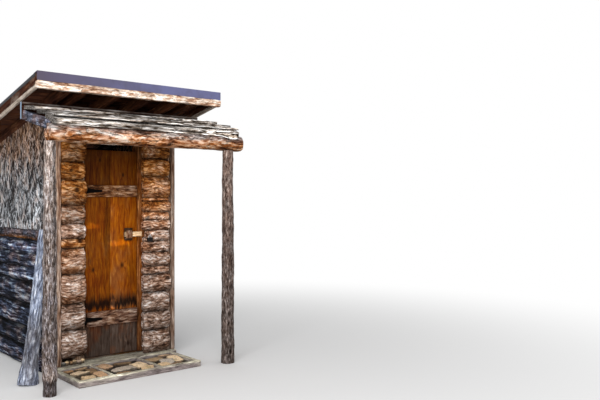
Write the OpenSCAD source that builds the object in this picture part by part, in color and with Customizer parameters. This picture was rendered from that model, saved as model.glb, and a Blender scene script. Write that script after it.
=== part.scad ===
// Wooden outhouse: log and bark-slab walls, a lean-to roof, and a slab awning on two round posts.
// X runs to the right along the front, Y runs to the back, Z runs up, and the ground is at Z = 0.
// The origin is on the underside of the front sill, under the middle of the front wall.

/* [Walls] */
// Width of the house over its corner boards
wall_w = 1220; // [1180:5:1300]
// Depth of the house over its wall slabs
wall_d = 1450; // [1350:10:1700]
// Side of a squared corner post, across the house
post_w = 90; // [70:5:110]
// Side of a squared post, front to back
post_d = 100; // [80:5:120]
// Depth of the front wall line, where the half logs are nailed to the posts
nail_y = 35; // [30:1:45]
// Thickness of the upright bark slabs on the upper walls
slab_t = 30; // [24:1:36]
// Thickness of the round log walls
log_t = 160; // [130:5:170]
// Most that a log bulges past its joints
log_bulge = 48; // [30:1:55]
// Share of a log's height that its face bulges
log_round = 0.28; // [0.15:0.01:0.3]
// Height of the lower log walls
low_wall_h = 1140; // [1000:10:1250]
// Height of the rail between the logs and the bark slabs
rail_h = 88; // [70:1:110]
// How far the rail stands out past the bark slabs
rail_proud = 25; // [10:1:40]

/* [Front wall] */
// Height of the front sill
sill_h = 50; // [40:1:60]
// How far the sill reaches in front of the wall line
sill_out = 30; // [20:1:40]
// Width of the left corner board
left_board_w = 95; // [70:1:110]
// Width of the right corner board
right_board_w = 42; // [30:1:60]
// Gap under the lowest log left of the door
left_log_gap = 70; // [20:5:120]
// Height from the underside of the header logs up to the roof sheet
header_drop = 398; // [380:1:420]
// Height of the lower header log
header_log_h = 110; // [90:5:130]
// Width of a door post
door_post_w = 80; // [60:5:90]
// Width of the jamb at the right of the door
jamb_w = 73; // [50:1:80]
// Thickness of a door stop
stop_t = 20; // [14:1:28]
// How far the door leaf laps over a stop
stop_lap = 16; // [12:1:30]
// Thickness of the floor boards
floor_t = 25; // [18:1:32]
// Height of the plates under the rafters
plate_h = 80; // [60:5:100]

/* [Roof] */
// Pitch of the main roof in degrees
roof_pitch = 10.9; // [8:0.1:12]
// Height of the roof sheet over the wall line
roof_z = 2438; // [2400:1:2480]
// Overhang of the roof past each side of the house
roof_side = 260; // [200:5:300]
// Overhang of the roof in front of the wall line
roof_front = 399; // [350:1:420]
// Overhang of the roof behind the house
roof_back = 200; // [150:5:260]
// Thickness of the roof sheet
sheet_t = 3; // [2:0.5:4]
// Height of a rib of the roof sheet
rib_h = 9; // [6:1:14]
// Thickness of the roof boards
deck_t = 22; // [18:1:26]
// Depth of a rafter
rafter_d = 97; // [80:1:110]
// Width of a rafter
rafter_w = 46; // [36:1:56]
// Distance between two rafters
rafter_gap = 302; // [280:1:320]
// Thickness of a barge board
barge_t = 25; // [18:1:32]
// Height of the metal trim at the roof's front edge
trim_h = 75; // [60:1:85]
// Thickness of the metal trim
trim_t = 2.5; // [1.5:0.5:3]
// Radius of the fascia log
fascia_r = 31; // [26:1:34]
// How far the metal trim laps onto the roof
trim_lap = 70; // [50:5:90]
// Distance between two ribs of the roof sheet
rib_gap = 228; // [200:1:250]
// Width of a rib of the roof sheet
rib_w = 28; // [20:1:40]

/* [Awning] */
// Pitch of the awning in degrees
awning_pitch = 14; // [11:0.5:15]
// Drop from the roof sheet's height to the awning's slabs at the ledger
awning_drop = 161; // [155:1:175]
// Height of the ledger
ledger_h = 145; // [120:1:160]
// Thickness of the ledger
ledger_t = 25; // [20:1:30]
// Strip of the ledger that shows over the top slab
ledger_show = 30; // [15:1:34]
// Thickness of an awning slab
awning_slab_t = 35; // [25:1:40]
// How far a thin awning slab's face crowns over its edges
slab_crown = 8; // [4:1:12]
// How far the lower slab, a thick one, crowns over its edges
thick_crown = 30; // [20:1:36]
// How far the ledger reaches past the left wall
ledger_left = 260; // [230:5:290]
// How far the ledger reaches past the right wall
ledger_right = 225; // [190:5:270]
// How far the two upper slabs reach past the right wall
slab_right = 330; // [290:5:380]
// How far the lower slab stops short of the two upper ones
slab_short = 45; // [10:5:60]
// Distance from the wall line to the lap of the upper slab
lap_upper = 255; // [220:5:280]
// Distance from the wall line to the lap of the middle slab
lap_middle = 470; // [440:5:500]
// Distance from the wall line to the edge of the lower slab
awning_y = 690; // [660:5:720]
// Width of an awning rafter
awning_rafter_w = 62; // [45:1:75]
// Depth of an awning rafter
awning_rafter_d = 82; // [60:1:95]
// Distance from the wall line to the posts' middle
porch_y = 627; // [560:1:660]
// Radius of the front beam
beam_r = 74; // [66:1:80]
// Distance from the front beam's middle up to its flattened top
beam_flat = 70; // [62:1:72]
// How far the front beam reaches past the left wall
beam_left = 270; // [250:5:310]
// How far the front beam reaches past the right wall
beam_right = 340; // [290:5:380]
// Distance from the left wall out to the left post's middle
left_post_out = 246; // [100:1:250]
// Distance from the right wall out to the right post's middle
right_post_out = 185; // [90:1:240]
// Radius of the left post
left_post_r = 52; // [42:1:62]
// Radius of the right post
right_post_r = 56; // [46:1:64]

/* [Door] */
// Left edge of the door leaf
leaf_x0 = -260; // [-264:1:-250]
// Right edge of the door leaf
leaf_x1 = 252; // [240:1:253]
// Underside of the door leaf
leaf_z0 = 75; // [66:1:90]
// Height of the vent gap between the door leaf and the header logs
vent_h = 89; // [60:1:120]
// Gap between the leaf and the left post, where the hinges are
hinge_gap = 30; // [24:1:36]
// Gap between the leaf and the right jamb
latch_gap = 10; // [8:1:14]
// Distance from the wall line to the face of the door leaf
leaf_y = 94; // [90:1:98]
// Thickness of the planks
plank_t = 32; // [24:1:34]
// Place of the joint between the planks
plank_joint = -18; // [-60:1:40]
// Width of the joint between the planks
plank_gap = 3; // [2:0.5:6]
// Thickness of a batten
batten_t = 25; // [18:1:28]
// Middle of the upper batten and its hinge
upper_batten_z = 1577; // [1500:1:1700]
// Height of the upper batten
upper_batten_h = 107; // [80:1:120]
// Middle of the lower batten and its hinge
lower_batten_z = 416; // [350:1:500]
// Height of the lower batten
lower_batten_h = 130; // [80:1:140]
// Length of a strap hinge from its pin
strap_l = 165; // [120:1:220]
// Height of a strap at its eye
strap_h = 46; // [36:1:56]
// Height of a strap at its tip
strap_tip_h = 18; // [12:1:30]
// Thickness of a strap
strap_t = 5; // [3:0.5:6]
// Radius of a hinge pin
pin_r = 6; // [5:0.5:7]
// Clearance between a hinge pin and its eye
pin_clear = 0.05; // [0.02:0.01:0.1]
// Thickness of the eye around a pin
eye_t = 5; // [4:0.5:6]

/* [Latch] */
// Height of the bolt's middle over the joint under the log at the latch
bolt_rise = 70; // [67:1:74]
// Height of the bolt
bolt_h = 46; // [30:1:50]
// Thickness of the bolt
bolt_t = 18; // [14:1:20]
// Right tip of the bolt
bolt_x1 = 295; // [285:1:297]
// Length of the bolt
bolt_l = 180; // [170:1:200]
// Clearance between the bolt and its block
bolt_clear = 0.3; // [0.2:0.1:1]
// Left edge of the latch block
block_x0 = 121; // [117:1:150]
// Width of the latch block
block_w = 76; // [60:1:100]
// Height of the latch block
block_h = 116; // [90:1:130]
// Thickness of the latch block
block_t = 36; // [32:1:40]
// Place of the staple along the front
staple_x = 312; // [312:1:330]
// Height of the staple's middle over the joint under the log at the latch
staple_rise = 63; // [56:1:66]
// Distance from the staple's middle to each of its legs
staple_half = 11; // [8:1:11]
// Radius of the staple's wire
staple_r = 2.5; // [2:0.5:3]
// How far the staple stands out from the wall line
staple_out = 62; // [60:1:75]
// Width of the padlock
lock_w = 54; // [40:1:60]
// Height of the padlock's body
lock_h = 42; // [30:1:50]
// Thickness of the padlock's body
lock_t = 22; // [16:1:24]
// Radius of the shackle's wire
shackle_r = 3; // [2.5:0.5:4]
// Distance from the shackle's middle to each of its legs
shackle_half = 12; // [10:1:16]
// Clear length of the shackle's legs
shackle_leg = 6; // [4:1:14]

/* [Doorstep] */
// Distance from the left wall in to the doorstep's left end
step_left = 3; // [0:1:50]
// Distance from the right wall in to the doorstep's right end
step_right = 80; // [50:5:120]
// Distance from the wall line to the doorstep's front
step_y = 587; // [500:1:600]
// Height of the doorstep
step_h = 55; // [40:1:58]
// Thickness of the doorstep's timbers
step_t = 38; // [28:1:45]
// Thickness of the doorstep's back timber
step_back_t = 60; // [40:1:65]
// Thickness of the doorstep's two dividers
divider_t = 22; // [16:1:30]
// Left side of the left divider
divider_x0 = -302; // [-340:1:-260]
// Left side of the right divider
divider_x1 = 143; // [100:1:180]
// Height of the gravel bed in the doorstep
bed_h = 18; // [10:1:26]
// Least height of a stone in the doorstep
stone_h = 36; // [30:1:44]

/* [Leaning log] */
// Lean of the log in degrees
lean = 12; // [8:1:16]
// Direction of the lean in degrees, from the X axis
lean_dir = 36; // [20:1:60]
// Height of the log's upper end, where it meets the corner board
lean_h = 1220; // [900:10:1220]
// Radius of the leaning log
lean_r = 62; // [58:1:68]
// Depth of the flat hewn on the leaning log, from its middle
lean_flat = 58; // [48:1:60]

/* [Hidden] */
$fn = 64;

// Clearance between pieces that rest on each other along a curve or an edge
seat = 0.3;
// Clearance between sloping layers that lie on each other
lay = 0.1;

slope = tan(roof_pitch);
fall = tan(awning_pitch);
// How far the middle of a round log wall lies outside the backs of the bark slabs
log_out = 25;
// How far the floor boards reach past the inner side of the corner posts
floor_side = 25;
half_w = wall_w / 2;
ledger_x0 = -half_w - ledger_left;
ledger_x1 = half_w + ledger_right;
slab_x1 = half_w + slab_right;
beam_x0 = -half_w - beam_left;
beam_x1 = half_w + beam_right;
left_post_x = -half_w - left_post_out;
right_post_x = half_w + right_post_out;
step_x0 = step_left - half_w;
step_x1 = half_w - step_right;
post_x1 = half_w - slab_t;
post_x0 = post_x1 - post_w;
frame_y = nail_y + post_d;
back_y1 = wall_d - slab_t;
back_y0 = back_y1 - post_d;
header_z = roof_z - header_drop;
leaf_z1 = header_z - vent_h;
awning_z = roof_z - awning_drop;
left_face = leaf_x0 - hinge_gap;
jamb_x0 = leaf_x1 + latch_gap;
jamb_x1 = jamb_x0 + jamb_w;

side_slab_count = 13;
back_slab_count = 11;

// Heights of the logs from the ground up, as shares of the wall that they fill
side_courses = [180, 170, 210, 215, 120, 130, 115];
left_courses = [238, 229, 259, 225, 84, 128, 168, 221, 159, 209];
right_courses = [215, 176, 182, 168, 76, 134, 104, 105, 95, 76, 104, 29, 205, 166, 155];
// Number of the right log beside the latch, from 0 at the bottom
latch_course = 7;

// Heights of the roof's layers over a place, in order from the top, with a clearance under each
function sheet_z(y) = roof_z - slope * y;
function sheet_under(y) = sheet_z(y) - sheet_t / cos(roof_pitch);
function deck_z(y) = sheet_under(y) - lay;
function deck_under(y) = deck_z(y) - deck_t / cos(roof_pitch);
function rafter_top(y) = deck_under(y) - lay;
function rafter_under(y) = rafter_top(y) - rafter_d / cos(roof_pitch);
function soffit_z(y) = rafter_under(y) - lay;
// Heights of the awning's slabs and of what they lie on
function awning_top(y) = awning_z + fall * (y + ledger_face);
function awning_under(y) = awning_top(y) - awning_slab_t / cos(awning_pitch);
function awning_seat(y) = awning_under(y) - lay;
ledger_face = sill_out + ledger_t;

function total(v, n) = n <= 0 ? 0 : v[n - 1] + total(v, n - 1);
// A repeatable uneven number from 0 to 1 for a place in a row
function uneven(i, row = 0) = abs(sin(i * 77.3 + row * 41.9 + 13));
// How far a log of a given height bulges past its joints
function bulge(h) = min(log_bulge, log_round * h);
// Radius of an arc over a chord with a given rise
function arc_r(chord, rise) = (chord * chord / 4 + rise * rise) / (2 * rise);

// Draws a flat shape in Y and Z and runs it along X
module along_x(x0, x1) {
    translate([x0, 0, 0]) rotate([90, 0, 90]) linear_extrude(x1 - x0) children();
}

module box(x0, x1, y0, y1, z0, z1) {
    translate([x0, y0, z0]) cube([x1 - x0, y1 - y0, z1 - z0]);
}

// One log of a round log wall in section: two bulging faces between flat scribed joints
module round_course(z0, h) {
    rise = bulge(h);
    r = arc_r(h, rise);
    intersection() {
        translate([r - log_t / 2, z0 + h / 2]) circle(r);
        translate([log_t / 2 - r, z0 + h / 2]) circle(r);
        translate([-log_t, z0 + seat / 2]) square([2 * log_t, h - seat]);
    }
}

// A wall of round logs along X, with its middle plane at Y = 0
module log_wall(length, courses) {
    scale_up = low_wall_h / total(courses, len(courses));
    for (i = [0 : len(courses) - 1]) {
        z0 = scale_up * total(courses, i);
        h = scale_up * courses[i];
        along_x(-length / 2, length / 2) round_course(z0, h);
    }
}

// One log of the front wall in section: a flat back on the posts and a bulging face
module half_course(z0, h) {
    rise = bulge(h);
    r = arc_r(h, rise);
    intersection() {
        translate([r - rise, z0 + h / 2]) circle(r);
        translate([-log_t, z0 + seat / 2]) square([log_t + nail_y, h - seat]);
    }
}

// Log number i of a stack of half logs between two heights, with uneven ends left and right
module half_log(i, z0, z1, courses, x0, x1, ragged0, ragged1, row) {
    k = (z1 - z0) / total(courses, len(courses));
    along_x(x0 + ragged0 * uneven(i, row), x1 - ragged1 * uneven(i, row + 1))
        half_course(z0 + k * total(courses, i), k * courses[i]);
}

// A peeled log along Z with a slightly uneven radius: a turned profile of short tapers
module uneven_log(length, r0, r1, wobble, rings, row) {
    outline = [for (i = [0 : rings]) [
        r0 + (r1 - r0) * i / rings + wobble * (uneven(i, row) - 0.5),
        length * i / rings
    ]];
    rotate_extrude() polygon(concat([[0, 0]], outline, [[0, length]]));
}

// Bark slabs side by side along X, seen in plan: flat backs, bulging faces and narrow grooves
module slab_row(x0, x1, count) {
    w = (x1 - x0) / count;
    rise = slab_t / 3;
    r = arc_r(w, rise + 2);
    translate([x0, 0]) square([x1 - x0, slab_t - rise]);
    for (i = [0 : count - 1]) {
        intersection() {
            translate([x0 + (i + 0.5) * w, slab_t - r]) circle(r);
            translate([x0 + i * w, rise]) square([w, slab_t]);
        }
    }
}

module front_sill() {
    color("#6b5a48") box(-half_w, half_w, -sill_out, frame_y, 0, sill_h);
}

floor_x = post_x0 + floor_side;
floor_z0 = 35;
floor_z1 = floor_z0 + floor_t;
joist_w = 60;
joist_in = 60;

module floor_joists() {
    span = (back_y0 - frame_y - 2 * joist_in - joist_w) / 2;
    color("#5a4630")
        for (i = [0 : 2]) {
            y0 = frame_y + joist_in + i * span;
            box(-floor_x, floor_x, y0, y0 + joist_w, 0, floor_z0);
        }
}

module floor_boards() {
    color("#6e5334") box(-floor_x, floor_x, frame_y + 2, back_y0 - 2, floor_z0, floor_z1);
}

front_plate_z = soffit_z(frame_y) - plate_h;
back_plate_z = soffit_z(back_y1) - plate_h;

module corner_posts() {
    color("#7a6048")
        for (side = [-1, 1]) {
            x0 = side < 0 ? -post_x1 : post_x0;
            box(x0, x0 + post_w, nail_y, frame_y, sill_h, front_plate_z);
            box(x0, x0 + post_w, back_y0, back_y1, 0, back_plate_z);
        }
}

wall_mid = half_w - slab_t + log_out;

module side_wall_logs(side) {
    color("#3f3c44")
        translate([side * wall_mid, (frame_y + back_y0) / 2, 0])
            rotate([0, 0, 90])
                log_wall(back_y0 - frame_y - 2 * seat, side_courses);
}

module left_wall_logs() {
    side_wall_logs(-1);
}

module right_wall_logs() {
    side_wall_logs(1);
}

module back_wall_logs() {
    color("#45413f")
        translate([0, back_y1 + log_out, 0])
            log_wall(2 * (post_x0 - seat), side_courses);
}

rail_z1 = low_wall_h + rail_h;

module wall_rails() {
    outer = half_w + rail_proud;
    inner = wall_mid - log_t / 2;
    color("#4a3a2e") {
        for (side = [-1, 1]) {
            x0 = side < 0 ? -outer : inner;
            box(x0, x0 + outer - inner, frame_y + seat, back_y0 - seat, low_wall_h, rail_z1);
        }
        box(-post_x0 + seat, post_x0 - seat, wall_d + rail_proud - outer + inner,
            wall_d + rail_proud, low_wall_h, rail_z1);
    }
}

// Upright bark slabs of a side wall, cut to the roof's slope at the top
module side_slabs(side) {
    past = 100;
    color("#77706a")
        difference() {
            mirror([side > 0 ? 1 : 0, 0, 0])
                translate([-post_x1, 0, rail_z1])
                    linear_extrude(roof_z - rail_z1)
                        rotate(90) slab_row(nail_y + seat, back_y1, side_slab_count);
            along_x(-wall_w, wall_w)
                polygon([
                    [-past, soffit_z(-past)], [wall_d + past, soffit_z(wall_d + past)],
                    [wall_d + past, roof_z + past], [-past, roof_z + past]
                ]);
        }
}

module left_wall_slabs() {
    side_slabs(-1);
}

module right_wall_slabs() {
    side_slabs(1);
}

module back_wall_slabs() {
    color("#736b62")
        translate([0, back_y1, rail_z1])
            linear_extrude(soffit_z(wall_d) - rail_z1)
                slab_row(-half_w, half_w, back_slab_count);
}

left_log_x0 = left_board_w - half_w;
left_log_x1 = left_face - 2;
right_log_x0 = jamb_x0 + 4;
right_log_x1 = half_w - right_board_w - 12;
// Most that a log end falls short at a corner board and at the door
ragged_corner = 20;
ragged_door = 16;

module front_left_logs() {
    color("#a06a3c")
        for (i = [0 : len(left_courses) - 1])
            half_log(i, sill_h + left_log_gap, header_z, left_courses, left_log_x0, left_log_x1,
                0, ragged_door, 3);
}

// The log at the latch, with the bolt and the staple set from its lower joint
log_share = (header_z - sill_h) / total(right_courses, len(right_courses));
latch_z0 = sill_h + log_share * total(right_courses, latch_course);
latch_z1 = latch_z0 + log_share * right_courses[latch_course];
bolt_z = latch_z0 + bolt_rise;
staple_z = latch_z0 + staple_rise;
staple_legs = [staple_z - staple_half, staple_z + staple_half];
// Room for the bolt where it swings past the logs: below it and past its tip
bolt_below = 6;
bolt_turn = 9;

module right_log(i) {
    half_log(i, sill_h, header_z, right_courses, right_log_x0, right_log_x1,
        ragged_door / 2, ragged_corner, 6);
}

// What is cut from the logs at the latch: a notch for the bolt and two holes for the staple
module latch_room() {
    box(right_log_x0 - 1, bolt_x1 + bolt_turn, -log_t, nail_y + 1,
        bolt_z - bolt_h / 2 - bolt_below, latch_z1);
    for (z = staple_legs)
        translate([staple_x, nail_y + 1, z])
            rotate([90, 0, 0]) cylinder(h = log_t, r = staple_r + pin_clear);
}

module front_right_logs() {
    color("#a5714a")
        difference() {
            for (i = [0 : len(right_courses) - 1])
                if (i != latch_course) right_log(i);
            latch_room();
        }
}

// The log beside the latch, notched for the bolt and drilled for the staple
module latch_log() {
    color("#9a6f4c")
        difference() {
            right_log(latch_course);
            latch_room();
        }
}

module corner_boards() {
    color("#957662") {
        box(-half_w, -half_w + left_board_w, 0, nail_y, sill_h, header_z);
        box(half_w - right_board_w, half_w, 0, nail_y, sill_h, header_z);
    }
}

jamb_y = leaf_y + 8;

module door_posts() {
    color("#7d5a38") {
        box(left_face - door_post_w, left_face, nail_y, frame_y, sill_h, front_plate_z);
        box(jamb_x1, jamb_x1 + door_post_w, nail_y, frame_y, sill_h, front_plate_z);
    }
}

module door_stops() {
    stop_y = frame_y + stop_t;
    color("#a5651f") {
        box(left_face - door_post_w, leaf_x0 + stop_lap, frame_y, stop_y, floor_z1, front_plate_z);
        box(leaf_x1 - stop_lap, jamb_x1 + door_post_w, frame_y, stop_y, floor_z1, front_plate_z);
        box(jamb_x0, jamb_x1, jamb_y, frame_y, floor_z1, front_plate_z);
    }
}

header_z1 = soffit_z(nail_y) - 2;

module header_logs() {
    color("#8a6238")
        along_x(-half_w, half_w) {
            half_course(header_z, header_log_h);
            translate([-sill_out, header_z + header_log_h])
                square([sill_out + nail_y, header_z1 - header_z - header_log_h]);
        }
}

module wall_plates() {
    color("#6d5238")
        along_x(-post_x1, post_x1) {
            polygon([
                [nail_y, front_plate_z], [frame_y, front_plate_z],
                [frame_y, soffit_z(frame_y)], [nail_y, soffit_z(nail_y)]
            ]);
            polygon([
                [back_y0, back_plate_z], [back_y1, back_plate_z],
                [back_y1, soffit_z(back_y1)], [back_y0, soffit_z(back_y0)]
            ]);
        }
}

// Strip of the roof boards that shows past the rafters' ends at the front and the back
eave = 38;
back_eave = 10;
rafter_y0 = eave - roof_front;
rafter_y1 = wall_d + roof_back - back_eave;

module rafters() {
    wall_rafter = (half_w - rafter_w / 2) / rafter_gap;
    color("#4a2f1a")
        for (place = [-wall_rafter, -1.5, -0.5, 0.5, 1.5, wall_rafter])
            along_x(place * rafter_gap - rafter_w / 2, place * rafter_gap + rafter_w / 2)
                polygon([
                    [rafter_y0, rafter_under(rafter_y0)], [rafter_y1, rafter_under(rafter_y1)],
                    [rafter_y1, rafter_top(rafter_y1)], [rafter_y0, rafter_top(rafter_y0)]
                ]);
}

roof_x = half_w + roof_side;
roof_y1 = wall_d + roof_back;

module roof_boards() {
    color("#4a2f1a")
        along_x(barge_t - roof_x, roof_x - barge_t)
            polygon([
                [-roof_front, deck_under(-roof_front)], [roof_y1, deck_under(roof_y1)],
                [roof_y1, deck_z(roof_y1)], [-roof_front, deck_z(-roof_front)]
            ]);
}

module roof_sheet() {
    color("#6d74a0") {
        along_x(-roof_x, roof_x)
            polygon([
                [-roof_front, sheet_under(-roof_front)], [roof_y1, sheet_under(roof_y1)],
                [roof_y1, sheet_z(roof_y1)], [-roof_front, sheet_z(-roof_front)]
            ]);
        rib_y0 = trim_lap + 6 - roof_front;
        for (i = [-3 : 3])
            along_x(i * rib_gap - rib_w / 2, i * rib_gap + rib_w / 2)
                polygon([
                    [rib_y0, sheet_z(rib_y0) - 1], [roof_y1, sheet_z(roof_y1) - 1],
                    [roof_y1, sheet_z(roof_y1) + rib_h], [rib_y0, sheet_z(rib_y0) + rib_h]
                ]);
    }
}

trim_z1 = sheet_z(-roof_front) + trim_t;
trim_z0 = trim_z1 - trim_h;

module roof_trim() {
    y0 = -roof_front - trim_t;
    y1 = -roof_front + trim_lap;
    color("#6a6f98")
        along_x(-roof_x, roof_x)
            polygon([
                [y0, trim_z0], [-roof_front - lay, trim_z0],
                [-roof_front - lay, sheet_z(-roof_front) + lay], [y1, sheet_z(y1) + lay],
                [y1, sheet_z(y1) + trim_t], [y0, trim_z1]
            ]);
}

// A half log nailed to the rafters' ends under the metal trim
module fascia_log() {
    color("#d8b48a")
        intersection() {
            translate([-roof_x, rafter_y0 - 0.4 * fascia_r, trim_z0 - fascia_r])
                rotate([0, 90, 0])
                    uneven_log(2 * roof_x, fascia_r, fascia_r, 0.1 * fascia_r, 9, 4);
            box(-roof_x, roof_x, -roof_front - fascia_r, rafter_y0,
                trim_z0 - 2 * fascia_r, trim_z0);
        }
}

module barge_boards() {
    y0 = rafter_y0 + seat;
    y1 = rafter_y1;
    color("#8a5a34")
        for (x0 = [-roof_x, roof_x - barge_t])
            along_x(x0, x0 + barge_t)
                polygon([
                    [y0, soffit_z(y0)], [y1, soffit_z(y1)],
                    [y1, deck_z(y1)], [y0, deck_z(y0)]
                ]);
}

ledger_z1 = awning_z + ledger_show;

module awning_ledger() {
    color("#6e4a30")
        box(ledger_x0, ledger_x1, -ledger_face, -sill_out, ledger_z1 - ledger_h, ledger_z1);
}

beam_y = porch_y - 27;
beam_back = beam_y - beam_r / 4;
beam_top = awning_under(-beam_y - beam_r) - seat;
beam_z = beam_top - beam_flat;

module awning_rafters() {
    first = ledger_x0 + 4;
    pitch = (ledger_x1 - awning_rafter_w - 4 - first) / 3;
    deep = awning_rafter_d;
    color("#6b675f")
        for (i = [0 : 3])
            along_x(first + i * pitch, first + i * pitch + awning_rafter_w)
                polygon([
                    [-ledger_face, awning_seat(-ledger_face)],
                    [-beam_back, awning_seat(-beam_back)],
                    [-beam_back, awning_seat(-beam_back) - deep * 0.75],
                    [-ledger_face, awning_seat(-ledger_face) - deep]
                ]);
}

// One slab of the awning, sawn from the side of a log: flat below, crowned above, round in front
module awning_slab(y0, y1, x0, x1, crown) {
    nose = 12 + crown / 2;
    mid_y = y0 + nose;
    function top(y) = awning_top(y) + crown * sqrt(1 - pow(((y - y0) / (y1 - y0) - 0.35) / 0.68, 2));
    half = (top(mid_y) - awning_under(mid_y)) / 2;
    color("#bdb9b2")
        along_x(x0, x1)
            polygon([
                [y1, awning_under(y1)],
                for (i = [0 : 5]) let (y = y1 - i * (y1 - mid_y) / 6) [y, top(y)],
                for (a = [90 : 20 : 270])
                    [mid_y + nose * cos(a), awning_under(mid_y) + half + half * sin(a)]
            ]);
}

module awning_slab_upper() {
    awning_slab(-lap_upper, -ledger_face - seat, ledger_x0 + 8, slab_x1, slab_crown);
}

module awning_slab_middle() {
    awning_slab(-lap_middle, -lap_upper - seat, ledger_x0 + 35, slab_x1, slab_crown);
}

module awning_slab_lower() {
    awning_slab(-awning_y, -lap_middle - seat, ledger_x0 + 20, slab_x1 - slab_short, thick_crown);
}

module porch_beam() {
    color("#c08a58")
        intersection() {
            translate([beam_x0, -beam_y, beam_z])
                rotate([0, 90, 0]) uneven_log(beam_x1 - beam_x0, beam_r, beam_r - 2, 7, 13, 7);
            box(beam_x0, beam_x1, -beam_y - beam_r - 10, -beam_back, beam_seat, beam_top);
        }
}

beam_seat = beam_z - beam_r + 4;

module left_porch_post() {
    color("#9c8c7c")
        translate([left_post_x, -porch_y, 0])
            uneven_log(beam_seat, left_post_r + 6, left_post_r - 12, 9, 8, 11);
}

module right_porch_post() {
    color("#6d625c")
        translate([right_post_x, -porch_y, 0])
            uneven_log(beam_seat, right_post_r + 6, right_post_r - 8, 7, 9, 12);
}

// A bare log with a flared foot, hewn flat where it meets the house
module leaning_log() {
    reach = lean_flat / cos(lean) + lean_h * tan(lean) + seat;
    length = (lean_h + lean_flat * sin(lean)) / cos(lean);
    past = 2 * lean_r;
    color("#8a90a0")
        intersection() {
            translate([-half_w - reach * cos(lean_dir), -reach * sin(lean_dir), 0])
                rotate([0, 0, lean_dir])
                    rotate([0, lean, 0])
                        difference() {
                            translate([0, 0, -lean_r])
                                rotate_extrude() polygon([
                                    [0, 0], [1.4 * lean_r, 0], [1.24 * lean_r, 0.07 * length],
                                    [1.03 * lean_r, 0.17 * length], [0.9 * lean_r, 0.35 * length],
                                    [0.9 * lean_r, 0.65 * length], [1.06 * lean_r, length + lean_r],
                                    [0, length + lean_r]
                                ]);
                            translate([lean_flat, -2 * past, -past])
                                cube([3 * past, 4 * past, length + 2 * past]);
                        }
            box(-2 * wall_w, 0, -2 * wall_w, wall_w, 0, 2 * low_wall_h);
        }
}

module ledger_strap() {
    color("#9db4cc")
        box(ledger_x0 - 2.5, ledger_x0, -ledger_face + 2, -sill_out - 2, ledger_z1 - ledger_h + 4, ledger_z1);
}

step_back = -sill_out - seat;

module step_rails() {
    color("#8a8078") {
        box(step_x0, step_x1, -step_y, -step_y + step_t, 0, step_h);
        box(step_x0, step_x1, step_back - step_back_t, step_back, 0, step_h);
    }
}

step_in0 = -step_y + step_t;
step_in1 = step_back - step_back_t;
step_places = [step_x0, divider_x0, divider_x1, step_x1 - step_t];

module step_ends() {
    color("#8f867c")
        for (i = [0 : 3])
            box(step_places[i], step_places[i] + (i == 0 || i == 3 ? step_t : divider_t),
                step_in0 + seat, step_in1 - seat, 0, step_h - 3);
}

// A flat field stone: an uneven outline of a few corners
module stone(cx, cy, rx, ry, h, row) {
    translate([cx, cy, 0])
        linear_extrude(h)
            polygon([for (i = [0 : 7]) [
                rx * (0.8 + 0.2 * uneven(i, row)) * cos(i * 45 + 20),
                ry * (0.8 + 0.2 * uneven(i, row + 3)) * sin(i * 45 + 20)
            ]]);
}

// Flat stones on a bed of packed gravel in each bay of the doorstep
module step_stones() {
    color("#b09062")
        for (bay = [0 : 2]) {
            x0 = step_places[bay] + (bay == 0 ? step_t : divider_t) + seat;
            x1 = step_places[bay + 1] - seat;
            w = (x1 - x0) / 3;
            d = (step_in1 - step_in0) / 2;
            box(x0, x1, step_in0 + seat, step_in1 - seat, 0, bed_h);
            for (i = [0 : 2])
                for (j = [0 : 1])
                    stone(x0 + (i + 0.5) * w, step_in0 + (j + 0.5) * d, w / 2 - 5, d / 2 - 7,
                        stone_h + 8 * uneven(i + 3 * j, bay), bay * 7 + i * 3 + j);
        }
}

strap_y1 = leaf_y - batten_t;
strap_y0 = strap_y1 - strap_t;
eye_r = pin_r + pin_clear + eye_t;
hinge_x = leaf_x0 - 12;
hinge_y = strap_y1 - eye_r;
// The pintle's arm under the eye and its plate on the post
arm_h = 12;
pintle_plate_t = 4;

module pintle(z) {
    z0 = z - strap_h / 2 - 1;
    box(left_face, left_face + pintle_plate_t, hinge_y - 16, hinge_y + 16, z - 34, z + 34);
    box(left_face + pintle_plate_t, hinge_x, hinge_y - 6, hinge_y + 6, z0 - arm_h, z0);
    translate([hinge_x, hinge_y, z0 - arm_h]) cylinder(h = arm_h, r = eye_r - 1);
    translate([hinge_x, hinge_y, z0]) cylinder(h = strap_h + 4, r = pin_r);
}

module hinge_pintles() {
    color("#1c1b1b") {
        pintle(upper_batten_z);
        pintle(lower_batten_z);
    }
}

module strap(z) {
    difference() {
        union() {
            translate([hinge_x, hinge_y, z - strap_h / 2]) cylinder(h = strap_h, r = eye_r);
            translate([0, strap_y1, z]) rotate([90, 0, 0]) linear_extrude(strap_t)
                polygon([
                    [hinge_x, -strap_h / 2], [hinge_x + strap_l, -strap_tip_h / 2],
                    [hinge_x + strap_l, strap_tip_h / 2], [hinge_x, strap_h / 2]
                ]);
        }
        translate([hinge_x, hinge_y, z - strap_h]) cylinder(h = 2 * strap_h, r = pin_r + pin_clear);
    }
}

module hinge_straps() {
    color("#1a1918") {
        strap(upper_batten_z);
        strap(lower_batten_z);
    }
}

module door_planks() {
    color("#9a5a1c") {
        box(leaf_x0, plank_joint - plank_gap / 2, leaf_y, leaf_y + plank_t, leaf_z0, leaf_z1);
        box(plank_joint + plank_gap / 2, leaf_x1, leaf_y, leaf_y + plank_t, leaf_z0, leaf_z1);
    }
}

module batten(z, h) {
    box(leaf_x0 + 10, leaf_x1 - 7, strap_y1, leaf_y, z - h / 2, z + h / 2);
}

module door_battens() {
    color("#7a5540") {
        batten(upper_batten_z, upper_batten_h);
        batten(lower_batten_z, lower_batten_h);
    }
}

bolt_y0 = leaf_y - 6 - bolt_t;

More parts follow.
